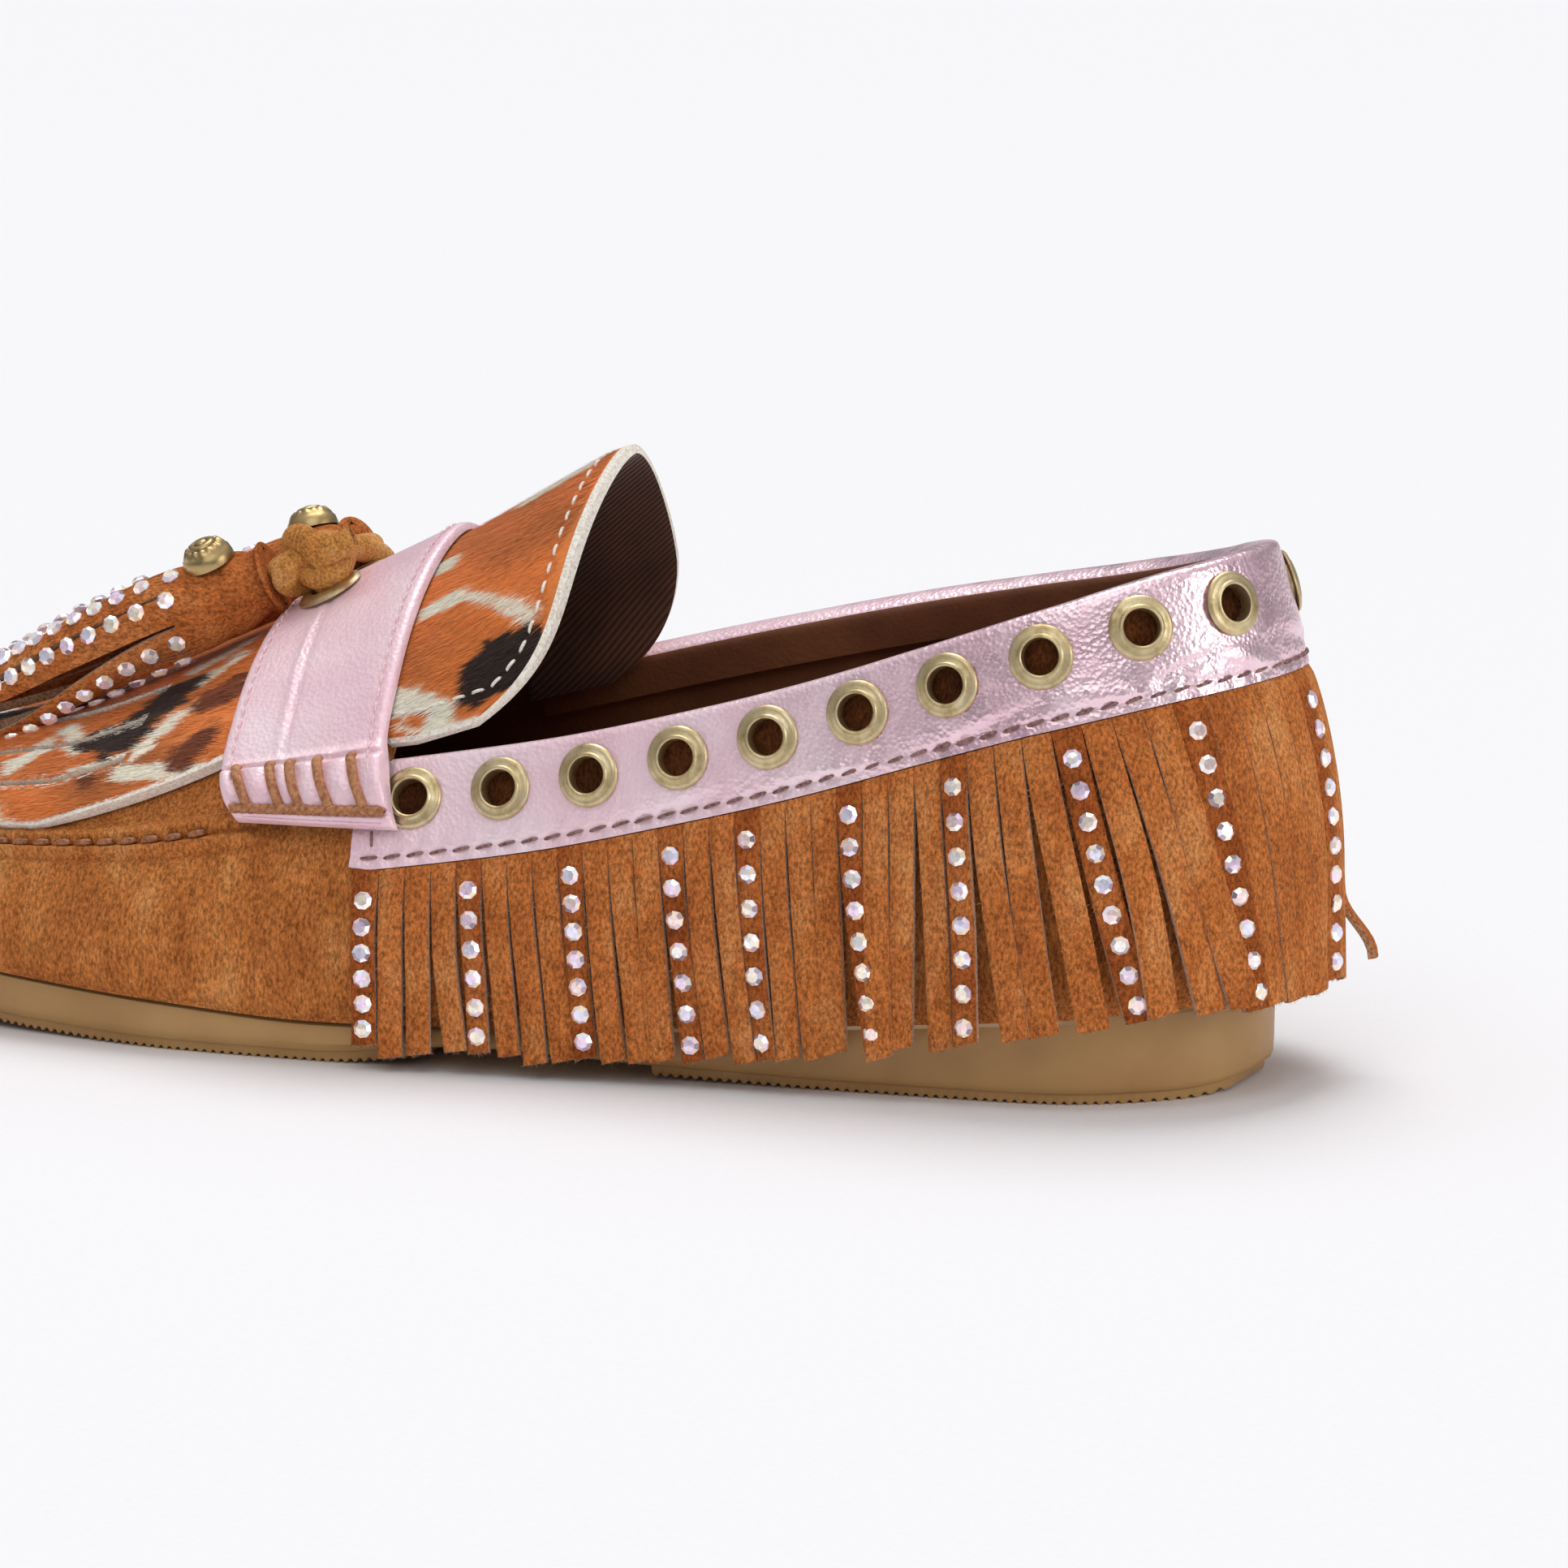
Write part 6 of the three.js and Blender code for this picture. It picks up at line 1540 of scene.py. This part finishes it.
STRAP_EYELET_PROFILE = (
    (2.6, -0.8), (2.6, 0.4), (2.72, 0.72), (3.0, 0.88), (3.5, 0.82), (4.2, 0.66), (4.7, 0.42), (4.97, 0.1),
    (4.9, -0.05), (4.6, -0.1), (2.8, -0.1), (2.75, -0.8),
)
eye_places = np.array([place_on(side, STRAP_EYELET["at"]) for side in (1, -1)])
eye_turns = np.full(2, STRAP_EYELET["turn"])
eye_seats = on_rib(eye_places, eye_turns, np.full(2, STRAP_FACE + GAP))
points, faces = turned_rings(STRAP_EYELET_PROFILE, eye_seats, rib_normal(eye_places, eye_turns))
eyes = mesh_of("strap_eyelets", points, faces, [antique_brass], sharp=35)
link_piece("strap_eyelets", eyes, ["strap-eyelet-outer", "strap-eyelet-inner"])

# Tassels. Suede rolled round the thong's ends and cut into strips, the strips set with rows of crystals.
TASSEL_WIDTH = 16
TASSEL_DEPTH = 12.8
TASSEL_CLEARANCE = 10
TASSEL_STOCK = 1.3
TASSEL_STRIPS = 8
INNER_SET_BACK = 0.018
TASSEL = {
    "at": (0.614, 0.636, 0.67, 0.73, 0.79, 0.87),
    "turn": (0.86, 0.84, 0.815, 0.8, 0.79, 0.78),
    "clear": (0.92, 0.95, 1, 0.94, 0.8, 0.64),
    "wide": (0.72, 0.84, 0.9, 0.94, 0.98, 1.05),
    "deep": (0.84, 0.95, 1, 0.92, 0.73, 0.52),
}
HEAD_END = 0.66  # where the slits begin
# How far each strip hangs below the round of the tassel at its free end, counted round from the outer side
STRIP_SAG = (1.2, 0.3, 0, 0, 0.3, 0.8, 2.6, 4.8)
tassel_share = {key: curve_through(TASSEL["at"], TASSEL[key]) for key in ("turn", "clear", "wide", "deep")}


def tassel_frame(at, side):
    """The middle of a tassel at a share of the shoe's length, and its outward and upward directions."""
    at = np.asarray(at, float)

    def middle_of(share):
        place = place_on(side, share - (0 if side > 0 else INNER_SET_BACK))
        return on_rib(place, tassel_share["turn"](share), tassel_share["clear"](share) * TASSEL_CLEARANCE)

    middle = middle_of(at)
    ahead = unit(middle_of(at + 0.012) - middle_of(at - 0.012))
    normal = rib_normal(place_on(side, at), tassel_share["turn"](at))
    out = unit(np.cross(normal, ahead))
    return middle, out, unit(np.cross(ahead, out)), ahead


def tassel_point(at, phi, side, inset):
    middle, out, up, _ = tassel_frame(at, side)
    wide = tassel_share["wide"](at) * TASSEL_WIDTH / 2 - inset
    deep = tassel_share["deep"](at) * TASSEL_DEPTH / 2 - inset
    around = phi if side > 0 else np.pi - phi
    strip = np.floor(np.mod(around / (2 * np.pi), 1) * TASSEL_STRIPS).astype(int) % TASSEL_STRIPS
    drop = np.array(STRIP_SAG)[strip] * smooth((at - HEAD_END) / 0.15)
    return middle + out * (wide * np.cos(phi))[..., None] + up * (deep * np.sin(phi) - drop)[..., None]


CELLS_A_TASSEL_STRIP = 8
tassel_suede = suede_material("tassel_suede", "#944e24", "#ae6230", "#c27d48", nap=(0.5, 1.0, 1.0))
tassel_at = np.linspace(TASSEL["at"][0], TASSEL["at"][-1], 110)
for side, name in ((1, "outer"), (-1, "inner")):
    bending = np.random.default_rng(41 + side)
    column_phi, slit_column, strip_column = [], [], []
    for strip in range(TASSEL_STRIPS):
        column_phi += list(
            2 * np.pi * (strip + np.linspace(0.05, 0.95, CELLS_A_TASSEL_STRIP + 1)) / TASSEL_STRIPS
        )
        slit_column += [False] * CELLS_A_TASSEL_STRIP + [True]
        strip_column += [strip] * (CELLS_A_TASSEL_STRIP + 1)
    phi_grid, at_grid = np.meshgrid(np.array(column_phi), tassel_at, indexing="ij")
    strip_grid = np.array(strip_column)[:, None] + 0 * at_grid
    local = (phi_grid * TASSEL_STRIPS / (2 * np.pi) - strip_grid - 0.5) * 2
    opened = smooth((at_grid - HEAD_END) / 0.02)
    sag = bending.uniform(0, 1.0, TASSEL_STRIPS)[strip_grid.astype(int)]
    tilt = bending.normal(0, 0.4, TASSEL_STRIPS)[strip_grid.astype(int)]
    inset = opened * (0.35 * local**2 + tilt * local * 0.5 + sag * smooth((at_grid - HEAD_END) / 0.15))
    # The roll's outer edge winds round the neck
    wind = phi_grid / (2 * np.pi) + (at_grid - TASSEL["at"][0]) * 55
    step = 0.5 * (1 - np.mod(wind, 1)) * smooth((HEAD_END - at_grid) / 0.02)
    mouth = 1.1 * np.exp(-((at_grid - TASSEL["at"][0]) / 0.004))
    face = tassel_point(at_grid, phi_grid, side, inset + step + mouth)
    back = tassel_point(at_grid, phi_grid, side, TASSEL_STOCK + inset + step * 0.3)
    keep = np.ones((len(column_phi), len(tassel_at) - 1), bool)
    keep[np.ix_(slit_column, tassel_at[:-1] >= HEAD_END)] = False
    points, faces, kinds = skin(face, back, keep, round_skin=True)
    kinds = np.where(kinds == 1, 0, kinds)
    mesh = mesh_of(f"tassel_{name}", points, faces, [tassel_suede, tassel_suede, cut_suede], kinds, sharp=50)
    link_piece(f"tassel_{name}", mesh, [f"tassel-{name}"])

# Rolled necks: the suede winds on past the head, and its end shows the turns of the roll
NECKS = {1: {"reach": 1.4, "radius": 5.3}, -1: {"reach": 1.6, "radius": 5.2}}
parts = []
for side, neck_size in NECKS.items():
    middle, _, _, ahead = (value[0] for value in tassel_frame(np.array([TASSEL["at"][0]]), side))
    reach = neck_size["reach"]
    back = np.concatenate([[-4.0, 0.0], np.linspace(0.2, 1, 14) * reach, np.full(8, reach)])
    back[-8:] += np.array([0.25, 0.3, 0.05, 0.3, 0.0, 0.25, -0.1, 0.1])
    shrink = np.concatenate([np.linspace(0.86, 1, 16), [0.93, 0.78, 0.7, 0.55, 0.47, 0.32, 0.24, 0.03]])
    shrink[2:16] += 0.025 * np.cos(np.arange(14) * 1.9)
    path = middle - ahead * back[:, None]
    upwards = np.broadcast_to([0.0, 0.0, 1.0], path.shape)
    points, faces = tubes(path[None], neck_size["radius"] * shrink, 40, upwards[None])
    parts.append((points, faces))
points, faces = joined(parts)
link_piece("tassel_necks", mesh_of("tassel_necks", points, faces, [tassel_suede], sharp=50))

# Crystal rows of the tassels: angle round them from the outer side, and the shares between which they run
TASSEL_ROWS = (
    (0.62, 0.661, 0.865),
    (1.24, 0.657, 0.865),
    (1.95, 0.68, 0.865),
    (-0.4, 0.664, 0.866),
    (-1.2, 0.67, 0.866),
)
CRYSTAL_PITCH = 3.9  # along a tassel's row
seats, axes = [], []
for side in (1, -1):
    for around, start, end in TASSEL_ROWS:
        at = np.arange(start, end, CRYSTAL_PITCH / SOLE_LENGTH)
        phi = around + 0 * at if side > 0 else np.pi - around + 0 * at
        seat = tassel_point(at, phi, side, 0.0 * at)
        seats.append(seat)
        axes.append(unit(seat - tassel_frame(at, side)[0]))
stones_mesh = crystals("tassel_crystals", np.concatenate(seats), np.concatenate(axes))
link_piece("tassel_crystals", stones_mesh)

# Studs. A cast brass dome on the head of each tassel, with a plain pattern of rings and ribs.
STUD = {"radius": 3.8, "height": 3.2, "at": 0.636, "lean": 0.15}
STUD_RIBS = 14
stud_shares = np.array(
    [0, 0.05, 0.16, 0.22, 0.26, 0.36, 0.44, 0.5, 0.54, 0.62, 0.7, 0.78, 0.84, 0.9, 0.95, 1, 1]
)
stud_rings = np.array([0, 0, 0, -0.12, -0.28, -0.04, 0, -0.04, -0.3, -0.04, 0, 0, -0.06, -0.22, 0, 0.1, -0.6])
parts = []
for side in (1, -1):
    middle, out, up, _ = (value[0] for value in tassel_frame(np.array([STUD["at"]]), side))
    axis = unit(up + out * STUD["lean"])
    foot = middle + axis * (0.87 * TASSEL_DEPTH / 2 + 2 * GAP)
    around = np.linspace(0, 2 * np.pi, 84, endpoint=False)
    across = unit(np.cross(axis, [0.0, 1.0, 0.3]))
    beyond = np.cross(axis, across)
    dome = STUD["height"] * np.sqrt(np.maximum(1 - stud_shares**2, 0))
    dome[-1] = -0.5
    ribbed = 0.16 * np.cos(around * STUD_RIBS)[:, None] * np.exp(-(((stud_shares - 0.7) / 0.1) ** 2))
    rise = dome + stud_rings * (stud_shares < 1) + ribbed
    radius = STUD["radius"] * stud_shares
    spoke = np.cos(around)[:, None] * across + np.sin(around)[:, None] * beyond
    rings = foot + spoke[:, None] * radius[None, :, None] + axis * rise[..., None]
    count, size = rings.shape[:2]
    i, j = np.meshgrid(np.arange(count), np.arange(size - 1), indexing="ij")
    ahead = (i + 1) % count
    quads = np.stack([i * size + j, ahead * size + j, ahead * size + j + 1, i * size + j + 1], -1).reshape(
        -1, 4
    )
    points, quads = merged(rings.reshape(-1, 3), quads)
    parts.append((points, wound(points, quads)))
points, faces = joined(parts)
dark_brass, tree, place = new_material("dark_antique_brass")
tarnish = add(tree, "TexNoise", {"Scale": 900.0, "Detail": 4.0}, {"Vector": place})
hollow = add(tree, "NewGeometry").outputs["Pointiness"]
depth = add(tree, "MapRange", {1: 0.44, 2: 0.53}, {0: hollow})
tone = add(tree, "ValToRGB", {"stops": [(0.1, linear("#2f2518")), (0.6, linear("#b99f6f"))]}, {"Fac": depth})
rough = add(tree, "MapRange", {1: 0.3, 2: 0.7, 3: 0.45, 4: 0.25}, {0: tarnish})
close_material(
    tree, add(tree, "BsdfPrincipled", {"Metallic": 0.95}, {"Base Color": tone, "Roughness": rough})
)
studs = mesh_of("tassel_studs", points, faces, [dark_brass], sharp=70)
link_piece("tassel_studs", studs, ["stud-outer", "stud-inner"])

# Thong. A round suede cord out of both strap eyelets, tied in a knot over the outer one, its ends in the
# tassels.
THONG_RADIUS = 1.9
KNOT_SLIP = (-0.3, 2.0, 0.1)  # of the knot from its place on the solid, in mm: long, wide and high
KNOT = {"at": 0.585, "turn": 0.88, "loop": 3.1, "lean": 0.4}
thong_suede = suede_material("thong_suede", "#a2662f", "#c68847", "#dda368", nap=(1.0, 1.0, 1.0))
knot_place = place_on(1, KNOT["at"])
knot_normal = rib_normal(np.array([knot_place]), np.array([KNOT["turn"]]))[0]
knot_rise = THONG_RADIUS + KNOT["loop"] * math.sin(KNOT["lean"]) + 3 * GAP
knot_height = STRAP_FACE + 0.9 + knot_rise
knot_middle = on_rib(np.array([knot_place]), np.array([KNOT["turn"]]), np.array([knot_height]))[0]
head_ahead = tassel_frame(np.array([0.614]), 1)[3][0]
knot_long = unit(head_ahead - knot_normal * (head_ahead @ knot_normal))
knot_wide = np.cross(knot_normal, knot_long)


def rounded(path, count):
    """A smooth run through points, by centripetal interpolation of their corners."""
    path = np.asarray(path, float)
    gone = np.concatenate([[0], np.cumsum(np.sqrt(np.linalg.norm(np.diff(path, axis=0), axis=1)))])
    slopes = np.gradient(path, gone, axis=0)
    at = np.linspace(0, gone[-1], count)
    k = np.clip(np.searchsorted(gone, at) - 1, 0, len(path) - 2)
    step = (gone[k + 1] - gone[k])[:, None]
    b = (at - gone[k])[:, None] / step
    a = 1 - b
    ends = path[k] * a * a * (1 + 2 * b) + path[k + 1] * b * b * (1 + 2 * a)
    return ends + slopes[k] * step * a * a * b - slopes[k + 1] * step * b * b * a


def eye(side, rise):
    index = 0 if side > 0 else 1
    return eye_seats[index] + rib_normal(eye_places, eye_turns)[index] * rise


def neck(side, inside):
    middle, _, _, ahead = (value[0] for value in tassel_frame(np.array([TASSEL["at"][0]]), side))
    return middle + ahead * inside


def crest(at):
    return on_rib(np.array([angle_of(at)]), np.array([1.0]), np.array([STRAP_FACE + 1.8 + THONG_RADIUS]))[0]


def in_knot(long, wide, high):
    long, wide, high = long + KNOT_SLIP[0], wide + KNOT_SLIP[1], high + KNOT_SLIP[2]
    return knot_middle + knot_long * long + knot_wide * wide + knot_normal * high


# The knot itself is an overhand loop: three crossings, pulled tight
KNOT_LOBE = 1.55
KNOT_DEPTH = 2.1
KNOT_CORD = 2.0
lap = np.linspace(0, 2 * np.pi, 121)
knot_run = in_knot(0, 0, 0) + (
    (np.sin(lap) + 2 * np.sin(2 * lap))[:, None] * KNOT_LOBE * knot_long
    + (2 * np.cos(2 * lap) - np.cos(lap))[:, None] * KNOT_LOBE * 0.82 * knot_normal
    + np.sin(3 * lap)[:, None] * KNOT_DEPTH * knot_wide
)
parts = [tubes(knot_run[None], KNOT_CORD, 20, np.broadcast_to(knot_wide, knot_run.shape)[None])]
paths = (
    [eye(1, -0.5), eye(1, 2.0), in_knot(-1.5, 0.6, -1.2), in_knot(0, 0, 0.5)],
    [in_knot(1.0, 0.5, 0.6), in_knot(4.4, 0.4, 0.8), neck(1, -3), neck(1, 3)],
    [eye(-1, -0.5), eye(-1, 2.5), crest(STRAP_EYELET["at"]), in_knot(-1.0, -2.6, 1.2), in_knot(0, 0, 0)],
    [in_knot(-1.5, 1.5, 0.0), in_knot(-4.6, 2.4, 0.6), in_knot(-8.0, 1.8, 0.6)],
    [in_knot(0.5, -2.0, 1.0), crest(KNOT["at"]), neck(-1, -4), neck(-1, 3)],
)
for path in paths:
    run = rounded(path, 60)
    parts.append(tubes(run[None], THONG_RADIUS, 18, np.broadcast_to(knot_normal, run.shape)[None]))
points, faces = joined(parts)
link_piece("thong_cord", mesh_of("thong_cord", points, faces, [thong_suede], sharp=80), ["thong"])

dressed_box = [list(corner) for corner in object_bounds()]
{"packed": [list(map(float, c)) for c in cad_box], "dressed": [list(map(float, c)) for c in dressed_box]}
